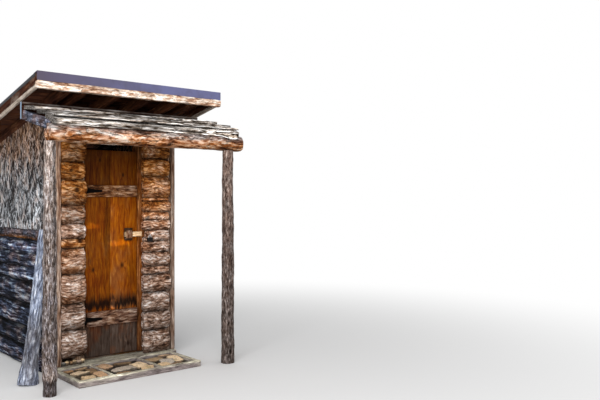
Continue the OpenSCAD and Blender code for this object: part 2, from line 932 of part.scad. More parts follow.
module latch_block() {
    color("#8a5a38")
        difference() {
            box(block_x0, block_x0 + block_w, leaf_y - block_t, leaf_y,
                bolt_z - block_h / 2, bolt_z + block_h / 2);
            box(block_x0 - 1, block_x0 + block_w + 1, bolt_y0 - bolt_clear, bolt_y0 + bolt_t + bolt_clear,
                bolt_z - bolt_h / 2 - bolt_clear, bolt_z + bolt_h / 2 + bolt_clear);
        }
}

module door_bolt() {
    color("#d0a468")
        box(bolt_x1 - bolt_l, bolt_x1, bolt_y0, bolt_y0 + bolt_t, bolt_z - bolt_h / 2, bolt_z + bolt_h / 2);
}

bow_y = staple_half - staple_out;

// A staple: two legs in the log, one over the other, and a round bow in front of it
module padlock_staple() {
    color("#c4c8cc") {
        for (z = staple_legs)
            translate([staple_x, nail_y, z]) rotate([90, 0, 0])
                cylinder(h = nail_y - bow_y, r = staple_r);
        translate([staple_x, bow_y, staple_z])
            rotate([0, -90, 0]) rotate([0, 0, 180])
                rotate_extrude(angle = 180) translate([staple_half, 0]) circle(staple_r);
    }
}

// The padlock hangs by its shackle on the lower leg of the staple
module padlock() {
    crown_z = staple_legs[0] + staple_r + seat + shackle_r;
    lock_z1 = crown_z - shackle_half - shackle_leg;
    translate([staple_x, bow_y, 0]) {
        color("#1b1b1d")
            box(-lock_w / 2, lock_w / 2, -lock_t / 2, lock_t / 2, lock_z1 - lock_h, lock_z1);
        color("#8e9296") {
            for (x = [-shackle_half, shackle_half])
                translate([x, 0, lock_z1 - 5]) cylinder(h = shackle_leg + 5, r = shackle_r);
            translate([0, 0, crown_z - shackle_half]) rotate([90, 0, 0])
                rotate_extrude(angle = 180) translate([shackle_half, 0]) circle(shackle_r);
        }
    }
}

front_sill();
floor_joists();
floor_boards();
corner_posts();
left_wall_logs();
right_wall_logs();
back_wall_logs();
wall_rails();
left_wall_slabs();
right_wall_slabs();
back_wall_slabs();
front_left_logs();
front_right_logs();
latch_log();
corner_boards();
door_posts();
door_stops();
header_logs();
wall_plates();
rafters();
roof_boards();
roof_sheet();
roof_trim();
fascia_log();
barge_boards();
awning_ledger();
awning_rafters();
awning_slab_upper();
awning_slab_middle();
awning_slab_lower();
porch_beam();
left_porch_post();
right_porch_post();
leaning_log();
ledger_strap();
step_rails();
step_ends();
step_stones();
hinge_pintles();
padlock_staple();
padlock();
door_planks();
door_battens();
hinge_straps();
latch_block();
door_bolt();
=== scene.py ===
"""Wooden outhouse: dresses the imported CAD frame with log, bark, board, stone and iron pieces."""

import logging
import math
from dataclasses import dataclass, field
from enum import Enum
from typing import Callable

import bmesh
import bpy
from mathutils import Matrix, Vector, noise


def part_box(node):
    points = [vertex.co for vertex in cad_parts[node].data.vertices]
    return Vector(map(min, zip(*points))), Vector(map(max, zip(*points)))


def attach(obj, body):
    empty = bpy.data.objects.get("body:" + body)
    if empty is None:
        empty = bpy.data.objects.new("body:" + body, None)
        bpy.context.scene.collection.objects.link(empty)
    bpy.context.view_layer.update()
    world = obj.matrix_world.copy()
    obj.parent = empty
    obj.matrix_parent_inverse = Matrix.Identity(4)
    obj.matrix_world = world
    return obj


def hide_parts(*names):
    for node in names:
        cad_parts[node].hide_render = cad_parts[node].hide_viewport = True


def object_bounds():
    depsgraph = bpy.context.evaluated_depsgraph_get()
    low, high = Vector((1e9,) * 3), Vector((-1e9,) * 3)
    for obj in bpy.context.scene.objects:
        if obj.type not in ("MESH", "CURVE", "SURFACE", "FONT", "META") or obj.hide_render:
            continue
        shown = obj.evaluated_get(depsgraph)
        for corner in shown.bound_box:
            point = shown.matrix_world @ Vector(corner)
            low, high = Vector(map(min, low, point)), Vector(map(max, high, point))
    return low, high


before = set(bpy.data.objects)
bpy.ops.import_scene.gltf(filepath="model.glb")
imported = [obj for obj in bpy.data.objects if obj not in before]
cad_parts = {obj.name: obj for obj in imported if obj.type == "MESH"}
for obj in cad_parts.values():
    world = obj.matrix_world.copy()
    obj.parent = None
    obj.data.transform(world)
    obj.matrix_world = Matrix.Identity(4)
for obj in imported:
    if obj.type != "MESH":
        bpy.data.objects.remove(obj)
CAD_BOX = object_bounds()
LOG = logging.getLogger("outhouse")
Socket = bpy.types.NodeSocket
FRONT, BACK, DOWN = (0, -1, 0), (0, 1, 0), (0, 0, -1)
ROOF_PITCH = math.radians(10.9)
# what each vertex carries for its finish, besides its own grain coordinates
SHADES = ("tone", "age", "dirt_and_shade")
# top of the height bands in the wood finishes, in metres
TALLEST = 2.6
# settings of a node that mixes two colours
RGBA = {"out": 2, "data_type": "RGBA"}


def linear(code: str) -> tuple[float, float, float, float]:
    """Turns an sRGB hex colour, such as "a86a32", into Blender's linear red, green, blue and alpha."""
    parts = [int(code[i:i + 2], 16) / 255 for i in (0, 2, 4)]
    return tuple(c / 12.92 if c <= 0.04045 else ((c + 0.055) / 1.055) ** 2.4 for c in parts) + (1.0,)


def ramp(codes: str) -> tuple:
    """Spreads colours evenly over a colour ramp.

    Args:
        codes: Hex colours split by blanks.

    Returns:
        Pairs of place and linear colour, the ramp's two ends first.
    """
    colours = [linear(code) for code in codes.split()]
    last = len(colours) - 1
    return tuple((i / last, colours[i]) for i in (0, last, *range(1, last)))


class Shader:
    """The emptied node tree of one material or world."""

    def __init__(self, owner: bpy.types.ID) -> None:
        """Empties the owner's node tree.

        Args:
            owner: The material or world.
        """
        owner.use_nodes = True
        self.owner, self.tree = owner, owner.node_tree
        self.tree.nodes.clear()

    def put(self, kind: str, inputs: tuple | dict = (), out: int | str = 0, stops: tuple = (),
            **settings: object) -> Socket | None:
        """Adds one node with its settings, values and links.

        Args:
            kind: The node's type name, after "ShaderNode", and its operation, if any, after a blank.
            inputs: Values, or the sockets that feed them, in the node's own order or by name or number.
            out: The output that is wanted.
            stops: For a colour ramp, pairs of place and linear colour.
            settings: Attributes to set on the node.

        Returns:
            That output, or None from a node that has none.
        """
        kind, _, operation = kind.partition(" ")
        made = self.tree.nodes.new("ShaderNode" + kind)
        if operation:
            made.operation = operation
        for key, value in settings.items():
            setattr(made, key, value)
        for key, value in inputs.items() if isinstance(inputs, dict) else enumerate(inputs):
            if isinstance(value, Socket):
                self.tree.links.new(value, made.inputs[key])
            else:
                made.inputs[key].default_value = value
        for i, (place, colour) in enumerate(stops):
            spot = made.color_ramp.elements[i] if i < 2 else made.color_ramp.elements.new(place)
            spot.position, spot.color = place, colour
        return made.outputs[out] if made.outputs else None

    def skinned(self, **inputs: object) -> bpy.types.Material:
        """Ends the tree with its surface.

        Args:
            inputs: The surface's values or sockets, with an underscore for each blank in a name.

        Returns:
            The finished material.
        """
        values = {name.replace("_", " "): value for name, value in inputs.items()}
        self.put("OutputMaterial", (self.put("BsdfPrincipled", values),))
        return self.owner


@dataclass(frozen=True)
class Timber:
    """Wood that was peeled, split or sawn and left outdoors.

    It gives the eye streaks and drying checks along the grain, knots, dirt and painted shade in the
    hollows, joints and undersides, and a change from fresh brown to silvered grey with height and from
    one length to the next. The grain follows each piece's own "grain" attribute in metres. Colours run
    from dark to light.
    """

    name: str
    fresh: str
    aged: str = "2e2824 665e58 948c86 ccc6c2"
    # height in metres, share of aged colour from 0 to 1, and brightness up to 2, which in several
    # finishes is painted light and shade
    heights: tuple = ()
    ragged: float = 0.05
    # fibres are finer than a pixel here, so the streaks are drawn several fibres wide
    streak_mm: float = 14.0
    stretch: float = 12.0
    # how far the grain wanders, in metres
    swirl: float = 0.03
    blotch_mm: float = 130.0
    contrast: float = 1.5
    check_mm: float = 30.0
    check_width: float = 0.02
    check_depth: float = 0.7
    # pale bark fibres torn loose across the grain, at these angles in degrees
    thread_mm: float = 0.0
    thread_angles: tuple[float, ...] = (-40.0, 8.0, 42.0)
    # torn fibre bundles or bark plates, each with its own shade and a dark seam round it
    plate_mm: float = 0.0
    plate_stretch: float = 3.0
    plate_share: float = 0.5
    plate_seam: float = 0.6
    knot_mm: float = 0.0
    knot_radius_mm: float = 13.0
    # x, y, z and radius in metres
    knots: tuple = ()
    # place across, z, half width and half height in metres, and how much brighter or darker
    patches: tuple = ()
    # whether the patches lie on a side wall, where across is Y and not X
    on_side: bool = False
    bump: float = 1.0
    relief_mm: float = 4.0
    roughness: float = 0.85
    spread: float = 0.3
    # how far dirt and painted shade darken the wood towards the stain colour, which also darkens checks,
    # knots and seams
    dirt: float = 0.75
    stain: str = "1a100a"

    def material(self) -> bpy.types.Material:
        """Builds the wood as a node material."""
        return WoodShader(self).built()


class WoodShader(Shader):
    """The node tree of one wood: each method adds one trait to its shade, relief or colour."""

    def __init__(self, wood: Timber) -> None:
        """Reads the places and shades that a piece carries, and bends the grain.

        Args:
            wood: What the wood looks like.
        """
        super().__init__(bpy.data.materials.new(wood.name))
        self.wood = wood
        self.grain = self.put("Attribute", out="Vector", attribute_name="grain")
        self.tone, self.age, self.dirt_and_shade = (
            self.put("Attribute", out="Fac", attribute_name=name) for name in SHADES)
        self.place = self.put("TexCoord", out="Object")
        self.along = self.bent()

    def built(self) -> bpy.types.Material:
        """Puts the traits together, from the streaks of the wood to the dirt and painted shade in its
        hollows.

        Returns:
            The finished material.
        """
        wood = self.wood
        streak = self.noise(self.along, wood.stretch, wood.streak_mm, 8.0)
        blotch = self.noise(self.grain, 1.6, wood.blotch_mm, 4.0)
        body = self.put("Math MULTIPLY", (blotch, 0.3))
        body = self.put("Math MULTIPLY_ADD", (streak, 0.7, body))
        half = 0.19 / wood.contrast
        self.body = self.put("MapRange", (body, 0.5 - half, 0.5 + half, 0.0, 1.0))
        self.height = streak
        seam = self.plates() if wood.plate_mm else None
        if wood.thread_mm:
            self.threads()
        fresh, aged = (self.put("ValToRGB", (self.body,), stops=ramp(c)) for c in (wood.fresh, wood.aged))
        share, bright = self.bands()
        patch = self.put("MapRange", (blotch, 0.35, 0.65, -0.3, 0.3))
        for extra in (patch, self.age):
            share = self.put("Math ADD", (share, extra))
        share = self.put("Clamp", (share,))
        colour = self.put("Mix", {"Factor": share, 6: fresh, 7: aged}, **RGBA)
        lift = self.put("MapRange", (self.tone, 0.0, 1.0, 1 - wood.spread, 1 + wood.spread))
        shine = self.patched(self.put("Math MULTIPLY", (lift, bright)))
        self.colour = self.put("VectorMath SCALE", {0: colour, "Scale": shine})
        if seam:
            self.stained(seam)
        self.checks()
        self.knots()
        # dirt and painted shade: hollows, splits, joints, log undersides and marked parts go towards the
        # stain
        self.stained(self.put("Math MULTIPLY", (self.dirt_and_shade, wood.dirt)))
        rough = self.put("MapRange", (streak, 0.0, 1.0, wood.roughness + 0.08, wood.roughness - 0.1))
        bump = self.put("Bump", {
            "Height": self.height, "Strength": wood.bump, "Distance": wood.relief_mm / 1000})
        return self.skinned(Base_Color=self.colour, Roughness=rough, Normal=bump, Specular_IOR_Level=0.08)

    def noise(self, vector: Socket, stretch: float, size_mm: float, detail: float,
              ridged: bool = False) -> Socket:
        """Adds noise drawn out along the grain.

        Args:
            vector: Grain coordinates.
            stretch: How much longer than wide.
            size_mm: Width across the grain.
            detail: Number of finer layers.
            ridged: Gives how far the noise is from its middle, which draws thin lines.

        Returns:
            The noise's value.
        """
        squeezed = self.put("Mapping", {"Vector": vector, "Scale": (1 / stretch, 1, 1)})
        value = self.put("TexNoise", {
            "Vector": squeezed, "Scale": 1000 / size_mm, "Detail": detail, "Roughness": 0.6})
        if ridged:
            value = self.put("Math SUBTRACT", (value, 0.5))
            value = self.put("Math ABSOLUTE", (value,))
        return value

    def stained(self, share: Socket) -> None:
        """Turns that share of the colour into the stain's."""
        self.colour = self.put("Mix", {"Factor": share, 6: self.colour, 7: linear(self.wood.stain)}, **RGBA)

    def raised(self, share: Socket, gain: float) -> None:
        """Raises the relief by that gain where the share is 1."""
        self.height = self.put("Math MULTIPLY_ADD", (share, gain, self.height))

    def found_knots(self, grain: Socket) -> tuple[Socket, Socket]:
        """Scatters knots over the grain: gives the cells' coordinates and how far the nearest knot is."""
        cells = self.put("Mapping", {"Vector": grain, "Scale": (0.5, 1, 1)})
        return cells, self.put("TexVoronoi", {"Vector": cells, "Scale": 1000 / self.wood.knot_mm})

    def bent(self) -> Socket:
        """Bends the grain, so that no fibre runs dead straight and the fibres flow round each knot.

        Returns:
            The bent coordinates.
        """
        wood = self.wood
        warp = self.put("TexNoise", {"Vector": self.grain, "Scale": 6.0, "Detail": 2.0}, "Color")
        warp = self.put("VectorMath MULTIPLY", (warp, (wood.swirl,) * 3))
        bent = self.put("VectorMath ADD", (self.grain, warp))
        near = []
        if wood.knot_mm:
            cells, found = self.found_knots(bent)
            local = self.put("VectorMath SUBTRACT", (cells, found.node.outputs["Position"]))
            aside = self.put("VectorMath MULTIPLY", (local, (0.0, 1.0, 1.0)))
            near.append((local, aside, 2.6 * wood.knot_radius_mm / 1000))
        for *knot, radius in wood.knots:
            local = self.put("VectorMath SUBTRACT", (self.place, knot))
            local = self.put("VectorMath MULTIPLY", (local, (1.0, 0.0, 0.5)))
            # a plank's grain runs up, so its width is the stick's own Z
            aside = self.put("CombineXYZ", {"Z": self.put("SeparateXYZ", (local,))})
            near.append((local, aside, 3.5 * radius))
        for local, aside, reach in near:
            far = self.put("VectorMath LENGTH", (local,), "Value")
            pull = self.put("MapRange", (far, 0.0, reach, 1.5, 0.0), interpolation_type="SMOOTHSTEP")
            move = self.put("VectorMath SCALE", {0: aside, "Scale": pull})
            bent = self.put("VectorMath SUBTRACT", (bent, move))
        return bent

    def plates(self) -> Socket:
        """Breaks the surface into torn fibre bundles or bark plates.

        Returns:
            How dark their seams are.
        """
        wood = self.wood
        size = wood.plate_mm / 1000
        fray = self.put("TexNoise", {
            "Vector": self.along, "Scale": 0.9 / size, "Detail": 3.0, "Roughness": 0.7}, "Color")
        fray = self.put("VectorMath SCALE", {0: fray, "Scale": 1.1 * size})
        spot = self.put("VectorMath ADD", (self.along, fray))
        spot = self.put("Mapping", {"Vector": spot, "Scale": (1 / wood.plate_stretch, 1, 1)})
        cells = {"Vector": spot, "Scale": 1 / size}
        shade = self.put("SeparateColor", (self.put("TexVoronoi", cells, "Color"),))
        edge = self.put("TexVoronoi", cells, feature="DISTANCE_TO_EDGE")
        self.body = self.put("Mix", {"Factor": wood.plate_share, 2: self.body, 3: shade})
        self.raised(self.put("MapRange", (edge, 0.0, 0.3, -0.5, 0.3)), 1.0)
        return self.put("MapRange", (edge, 0.0, 0.07, wood.plate_seam, 0.0))

    def patched(self, shine: Socket) -> Socket:
        """Brightens or darkens the wood in the listed patches: some where it was rubbed, wetted or stained,
        some as painted highlights and painted shadows.

        Args:
            shine: Brightness so far.

        Returns:
            The new brightness.
        """
        # how far noise pulls the patches' outlines about, in metres
        rag = 0.03
        pull = self.put("TexNoise", {"Vector": self.place, "Scale": 22.0, "Detail": 5.0}, "Color")
        pull = self.put("VectorMath MULTIPLY", (pull, (2 * rag,) * 3))
        spot = self.put("VectorMath ADD", (self.place, pull))
        for across, z, wide, tall, gain in self.wood.patches:
            middle = (across + rag, across + rag, z + rag)
            size = (0.0, 1 / wide, 1 / tall) if self.wood.on_side else (1 / wide, 0.0, 1 / tall)
            gap = self.put("VectorMath SUBTRACT", (spot, middle))
            gap = self.put("VectorMath MULTIPLY", (gap, size))
            far = self.put("VectorMath LENGTH", (gap,), "Value")
            more = self.put("MapRange", (far, 0.4, 1.25, 1 + gain, 1.0), interpolation_type="SMOOTHSTEP")
            shine = self.put("Math MULTIPLY", (shine, more))
        return shine

    def threads(self) -> None:
        """Lays pale torn bark fibres across each other."""
        for angle in self.wood.thread_angles:
            turned = self.put("Mapping", {
                "Vector": self.along, "Rotation": (0.0, math.radians(angle), 0.0),
                "Location": (angle * 0.37, 0.0, angle * 0.11)})
            line = self.noise(turned, 3.5, self.wood.thread_mm, 1.5, ridged=True)
            line = self.put("MapRange", (line, 0.01, 0.05, 1.0, 0.0))
            some = self.put("MapRange", (self.noise(turned, 1.0, 210, 2.0), 0.42, 0.58, 0.0, 1.0))
            line = self.put("Math MULTIPLY", (line, some))
            self.body = self.put("Math MULTIPLY_ADD", (line, 0.75, self.body))
            self.raised(line, 0.4)

    def bands(self) -> tuple[Socket, Socket]:
        """Reads the height bands, whose edges long drips make ragged.

        Returns:
            The share of aged colour and the brightness.
        """
        wood = self.wood
        drip = self.noise(self.along, 30.0, wood.streak_mm * 0.6, 3.0)
        shift = self.put("MapRange", (drip, 0.3, 0.7, -wood.ragged, wood.ragged))
        z = self.put("SeparateXYZ", (self.place,), "Z")
        z = self.put("Math ADD", (z, shift))
        z = self.put("Math MULTIPLY", (z, 1 / TALLEST))
        first, *middle, last = wood.heights
        stops = tuple((h / TALLEST, (old, shine / 2, 0.0, 1.0)) for h, old, shine in (first, last, *middle))
        aged = self.put("SeparateColor", (self.put("ValToRGB", (z,), stops=stops),), "Red")
        return aged, self.put("Math MULTIPLY", (aged.node.outputs["Green"], 2.0))

    def checks(self) -> None:
        """Opens thin dark drying checks along the grain."""
        wood = self.wood
        line = self.noise(self.along, wood.stretch * 2.2, wood.check_mm, 3.0, ridged=True)
        slit = self.put("MapRange", (line, 0.0, wood.check_width, wood.check_depth, 0.0))
        self.stained(slit)
        self.raised(slit, -0.9)

    def knots(self) -> None:
        """Adds scattered knots, and the named ones at their own places."""
        wood = self.wood
        rings = []
        if wood.knot_mm:
            rings.append((self.found_knots(self.along)[1], wood.knot_radius_mm / wood.knot_mm))
        for *knot, radius in wood.knots:
            gap = self.put("VectorMath SUBTRACT", (self.place, knot))
            gap = self.put("VectorMath MULTIPLY", (gap, (1.0, 0.0, 0.6)))
            rings.append((self.put("VectorMath LENGTH", (gap,), "Value"), radius))
        for distance, size in rings:
            ring = self.put("MapRange", (distance, 0.4 * size, 1.6 * size, 0.85, 0.0))
            self.stained(ring)
            self.raised(ring, -0.4)


@dataclass(frozen=True)
class Metal:
    """Painted or bare metal: nearly even colour with faint streaks of dirt, soft gloss and, where given, a
    painted reflection that grades the colour towards the right-hand end.
    """

    name: str
    colour: str
    worn: str
    metallic: float = 0.0
    roughness: float = 0.5
    grime: float = 0.35
    grain_mm: float = 30.0
    bump: float = 0.1
    # colour towards the right-hand end: a painted reflection of the sky, lighter and bluer than the paint
    reflected_right_end: str = ""

    def material(self) -> bpy.types.Material:
        """Builds the metal as a node material.

        Returns:
            The material.
        """
        tree = Shader(bpy.data.materials.new(self.name))
        place = tree.put("TexCoord", out="Object")
        cloud = tree.put("TexNoise", {
            "Vector": place, "Scale": 1000 / self.grain_mm, "Detail": 6.0, "Roughness": 0.65})
        dirt = tree.put("MapRange", (cloud, 0.45, 0.72, 0.0, self.grime))
        # painted reflection: the paint grades into the reflected colour towards the right-hand end
        right = tree.put("MapRange", (tree.put("SeparateXYZ", (place,)), -0.9, 0.3, 0.0, 1.0))
        ends = [linear(code) for code in (self.colour, self.reflected_right_end or self.colour)]
        paint = tree.put("Mix", {"Factor": right, 6: ends[0], 7: ends[1]}, **RGBA)
        colour = tree.put("Mix", {"Factor": dirt, 6: paint, 7: linear(self.worn)}, **RGBA)
        rough = tree.put("MapRange", (cloud, 0.0, 1.0, self.roughness - 0.12, self.roughness + 0.15))
        bump = tree.put("Bump", {"Height": cloud, "Strength": self.bump, "Distance": 0.002})
        return tree.skinned(Base_Color=colour, Metallic=self.metallic, Roughness=rough, Normal=bump)


@dataclass(frozen=True)
class Stone:
    """Field stone and gravel: each stone its own colour, grainy, with moss in the hollows, and near black
    where its dirt and painted shade lie.
    """

    name: str
    colours: str
    moss: str
    moss_share: float = 0.4
    grit_mm: float = 7.0

    def material(self) -> bpy.types.Material:
        """Builds the stone as a node material.

        Returns:
            The material.
        """
        tree = Shader(bpy.data.materials.new(self.name))
        grain = tree.put("Attribute", out="Vector", attribute_name="grain")
        tone, dirt_and_shade = (tree.put("Attribute", out="Fac", attribute_name=n) for n in ("tone", "dirt_and_shade"))
        base = tree.put("ValToRGB", (tone,), stops=ramp(self.colours))
        grit = tree.put("TexNoise", {
            "Vector": grain, "Scale": 1000 / self.grit_mm, "Detail": 8.0, "Roughness": 0.7})
        patch = tree.put("TexNoise", {"Vector": grain, "Scale": 24.0, "Detail": 6.0})
        shade = tree.put("MapRange", (grit, 0.3, 0.7, 0.25, 1.85))
        colour = tree.put("VectorMath SCALE", {0: base, "Scale": shade})
        green = tree.put("MapRange", (patch, 0.56, 0.66, 0.0, self.moss_share))
        colour = tree.put("Mix", {"Factor": green, 6: colour, 7: linear(self.moss)}, **RGBA)
        # dirt and painted shade turn near black; on the flat stones this is painted shade down their sides
        colour = tree.put("Mix", {"Factor": dirt_and_shade, 6: colour, 7: linear("140c06")}, **RGBA)
        rise = tree.put("Math MULTIPLY_ADD", (patch, 4.0, grit))
        bump = tree.put("Bump", {"Height": rise, "Strength": 0.8, "Distance": 0.005})
        return tree.skinned(Base_Color=colour, Roughness=0.9, Normal=bump)


class Finish(Enum):
    """The finishes of the outhouse, each named for its wood, stone or metal and how it was worked."""

    # orange fibre where the eaves keep it dry, silver grey and cracked further down, and a little darker
    # at the top as painted shade under the porch beam
    FRONT_LOG = Timber(
        "peeled_pine_log", "341406 8e4e18 c47e3c f6bc80", "28150c 876856 c1a594 fff4ee",
        heights=((0.0, 0.95, 0.95), (0.55, 0.9, 1.0), (0.9, 0.68, 1.12), (1.25, 0.58, 1.17),
        (1.45, 0.2, 0.95), (1.65, 0.0, 1.0), (2.1, 0.0, 0.9)), streak_mm=16, stretch=4.0, swirl=0.09,
        contrast=2.0, check_mm=40, plate_mm=36, plate_share=0.2, plate_seam=0.45, knot_mm=190,
        patches=((0.4, 1.35, 0.2, 0.4, 0.28), (-0.42, 1.45, 0.2, 0.2, -0.1)), relief_mm=8)
    # silver bark torn into crossing fibres, browner under the roof
    BARK_SLAB = Timber(
        "bark_faced_slab", "080606 2e2c2c 66686c d4d8de", "160a04 4a2e1c 80583a dcb090",
        heights=((0.0, 0.0, 0.85), (1.6, 0.05, 0.78), (1.8, 0.35, 0.75), (2.0, 0.75, 0.85), (2.3, 1.0, 0.6)),
        streak_mm=18, stretch=3.0, blotch_mm=70, contrast=2.3, check_mm=36, check_depth=0.85, thread_mm=58,
        plate_mm=24, plate_stretch=4.0, plate_share=0.25, patches=((0.25, 1.4, 0.24, 0.24, 1.0),
        (0.8, 1.25, 0.8, 0.06, 0.5)), on_side=True, relief_mm=9)
    # nearly black blue-grey logs with pale streaks and deep dark joints, and painted highlight bands along
    # the upper logs
    WALL_LOG = Timber(
        "round_wall_log", "020204 1e2230 4c566e b0c4da", "120a04 4a2c14 8a5c2c e8b874",
        heights=((0.0, 0.05, 1.0), (1.3, 0.1, 1.05)), streak_mm=20, contrast=2.1, check_mm=60,
        check_depth=0.85, plate_mm=40, plate_stretch=9, plate_share=0.25,
        patches=((0.4, 1.06, 0.6, 0.06, 1.5), (0.4, 0.85, 0.4, 0.05, 0.7)), on_side=True, relief_mm=9,
        dirt=0.85, stain="040302")
    # dark hewn faces with a brown line where the bark came off
    RAIL_LOG = Timber(
        "hewn_rail", "0a090b 2e2e34 5c6070 b8c0d4", "1c0e04 5a3414 96602c d8a060", heights=((0.0, 0.1, 1.0),
        (1.152, 0.95, 1.0), (1.172, 0.15, 1.0), (1.3, 0.1, 1.0)), ragged=0.012, stretch=6, check_mm=50,
        plate_mm=26, bump=0.9, stain="080604")
    # greyed sawn board with fine straight grain
    GREY_BOARD = Timber(
        "weathered_board", "4a3020 846450 a88a74 dcc2ae", "302a26 766860 9c8c82 ccbcb2",
        heights=((0.0, 0.4, 0.95), (2.5, 0.05, 1.1)), bump=0.6)
    # dark brown stain with the grain showing through
    DARK_BOARD = Timber(
        "stained_roof_board", "160803 361a0e 54301e 80583e", "180a04 3a2012 5a3820 8a6444",
        heights=((0.0, 0.1, 1.1), (2.5, 0.1, 1.1)), contrast=1.0, check_mm=45, bump=0.4)
    # the same stain, worn back to grey wood on the lower strip
    BARGE_BOARD = Timber(
        "edge_board", "120402 2e140a 4a2816 7c5638", "4a4038 84786c aca094 d8d0c4",
        heights=((0.0, 0.05, 1.0), (2.5, 0.05, 1.0)), stretch=14, contrast=1.0, check_mm=45, bump=0.5)
    # dark stained board with a painted shadow band where the slabs meet it, and a pale dusty line along its
    # top
    LEDGER_BOARD = Timber(
        "awning_ledger_board", "120402 2e140a 4a2816 7c5638", heights=((0.0, 0.0, 0.9), (2.272, 0.0, 0.9),
        (2.279, 0.0, 0.2), (2.291, 0.0, 0.2), (2.297, 0.6, 1.3), (2.307, 0.6, 1.3)), ragged=0.002,
        stretch=14, contrast=1.0, check_mm=45, bump=0.5)
    # dry brown sawn wood, kept out of the weather, turned black above the door by painted shade
    FRAME_WOOD = Timber(
        "sawn_frame_wood", "3a2210 644224 85603c a88258", heights=((0.0, 0.3, 0.9), (1.96, 0.1, 0.9),
        (1.98, 0.1, 0.3)), streak_mm=12, stretch=14, contrast=1.0, check_mm=45, bump=0.3)
    # cream wood under torn brown inner bark
    FASCIA_LOG = Timber(
        "peeled_fascia_log", "4a2818 b88e72 f4e0cc ffffff", "4a3424 8c6e58 c6ae9c f4eadc",
        heights=((0.0, 0.15, 1.05), (2.5, 0.15, 1.05)), streak_mm=20, stretch=4.0, contrast=1.8, check_mm=40,
        plate_mm=40, plate_share=0.3, plate_seam=0.4, bump=0.8, relief_mm=6, dirt=0.8, stain="341a0c")
    # bleached split wood, almost white, cut up by long black splits
    AWNING_SLAB = Timber(
        "split_awning_slab", "1c0e06 948474 f0e8e2 ffffff", "1a0e06 7c6a5c c4b6a8 fff6ea",
        heights=((0.0, 0.1, 1.2), (2.5, 0.1, 1.2)), streak_mm=9, stretch=30, blotch_mm=60, contrast=2.2,
        check_mm=20, check_width=0.04, check_depth=0.95, patches=((0.85, 2.15, 0.6, 0.3, 0.6),
        (-0.8, 2.2, 0.4, 0.3, -0.25)), relief_mm=7, spread=0.5, dirt=0.92, stain="0c0704")
    # cream and rust flakes with a greyed upper side, painted shade on the underside and a painted highlight
    # along the upper half
    PEELED_BEAM = Timber(
        "peeled_beam", "401604 ac6632 f4bd90 fff6ea", "2c1a14 90766c d0c0bc fff8f4",
        heights=((0.0, 0.0, 0.75), (1.95, 0.0, 0.75), (1.975, 0.05, 1.1), (2.01, 0.15, 1.3),
        (2.06, 0.8, 1.2), (2.1, 0.95, 0.95)), ragged=0.02, streak_mm=26, stretch=3.6, blotch_mm=120,
        contrast=2.7, check_mm=60, check_depth=0.85, plate_mm=60, plate_stretch=2.6, plate_share=0.4,
        knot_mm=170, knot_radius_mm=11, patches=((-0.15, 2.03, 0.34, 0.04, 0.35),
        (0.75, 2.0, 0.3, 0.12, -0.15)), relief_mm=9)
    # flaky grey-brown bark over a dark, wet, rotted foot, with a painted highlight strip high up and a thin
    # painted shadow line down the side by the corner board
    LEFT_POLE = Timber(
        "barked_pole", "32241e a49086 dccabf ffffff", "1e1410 685850 9a9094 d8ced0",
        heights=((0.0, 0.9, 0.45), (0.11, 0.9, 0.5), (0.14, 0.5, 1.3), (0.22, 0.6, 1.15), (0.27, 0.8, 0.8),
        (0.5, 0.85, 0.82), (1.3, 0.45, 0.95), (2.2, 0.0, 1.08)), ragged=0.02, streak_mm=13, stretch=3.0,
        blotch_mm=60, contrast=2.1, check_mm=26, check_width=0.03, check_depth=0.85, plate_mm=17,
        plate_stretch=2.2, plate_share=0.3, plate_seam=0.65, knot_mm=210, knot_radius_mm=12,
        patches=((-0.838, 1.25, 0.01, 1.0, -0.6), (-0.876, 1.7, 0.03, 0.5, 0.25)), relief_mm=8,
        stain="1a0e08")
    # the same bark, browner and in shade
    RIGHT_POLE = Timber(
        "grey_pole", "281a14 786056 9a8478 d8c4b8", "140e0a 4c403a 706460 b0a09a",
        heights=((0.0, 0.95, 0.68), (0.9, 0.7, 0.8), (2.2, 0.05, 0.95)), stretch=3.0, blotch_mm=50,
        contrast=1.9, plate_mm=20, plate_stretch=2.2, plate_share=0.35, plate_seam=0.5, knot_mm=190,
        knot_radius_mm=11, relief_mm=6, stain="120a06")
    # smooth blue-grey wood with thin checks
    BARE_LOG = Timber(
        "bare_split_log", "24262e 747c92 b8c4dc ffffff", "241e1c 6c686c 9c9ca6 ecf0f8",
        heights=((0.0, 0.3, 1.05), (0.1, 0.4, 1.0), (0.17, 0.8, 0.76), (0.45, 0.7, 0.8), (0.6, 0.1, 1.05),
        (1.0, 0.0, 1.05), (1.3, 0.1, 0.92)), streak_mm=18, stretch=4.0, blotch_mm=80, contrast=1.6,
        check_mm=36, check_width=0.015, plate_mm=30, plate_stretch=2.6, plate_share=0.25, plate_seam=0.3,
        bump=0.8, relief_mm=5.0, stain="14100e")
    # mauve-grey faces and pale dry upper sides, brightened further by a painted highlight
    STEP_WOOD = Timber(
        "doorstep_board", "3c3230 7e7270 988d8a c4b8b0", "38362c 868070 b6b09c eeecd8",
        heights=((0.0, 0.0, 0.88), (0.044, 0.1, 0.9), (0.05, 0.9, 1.3), (0.056, 1.0, 1.35)), ragged=0.005,
        streak_mm=10, contrast=1.2, check_mm=28, bump=0.6)
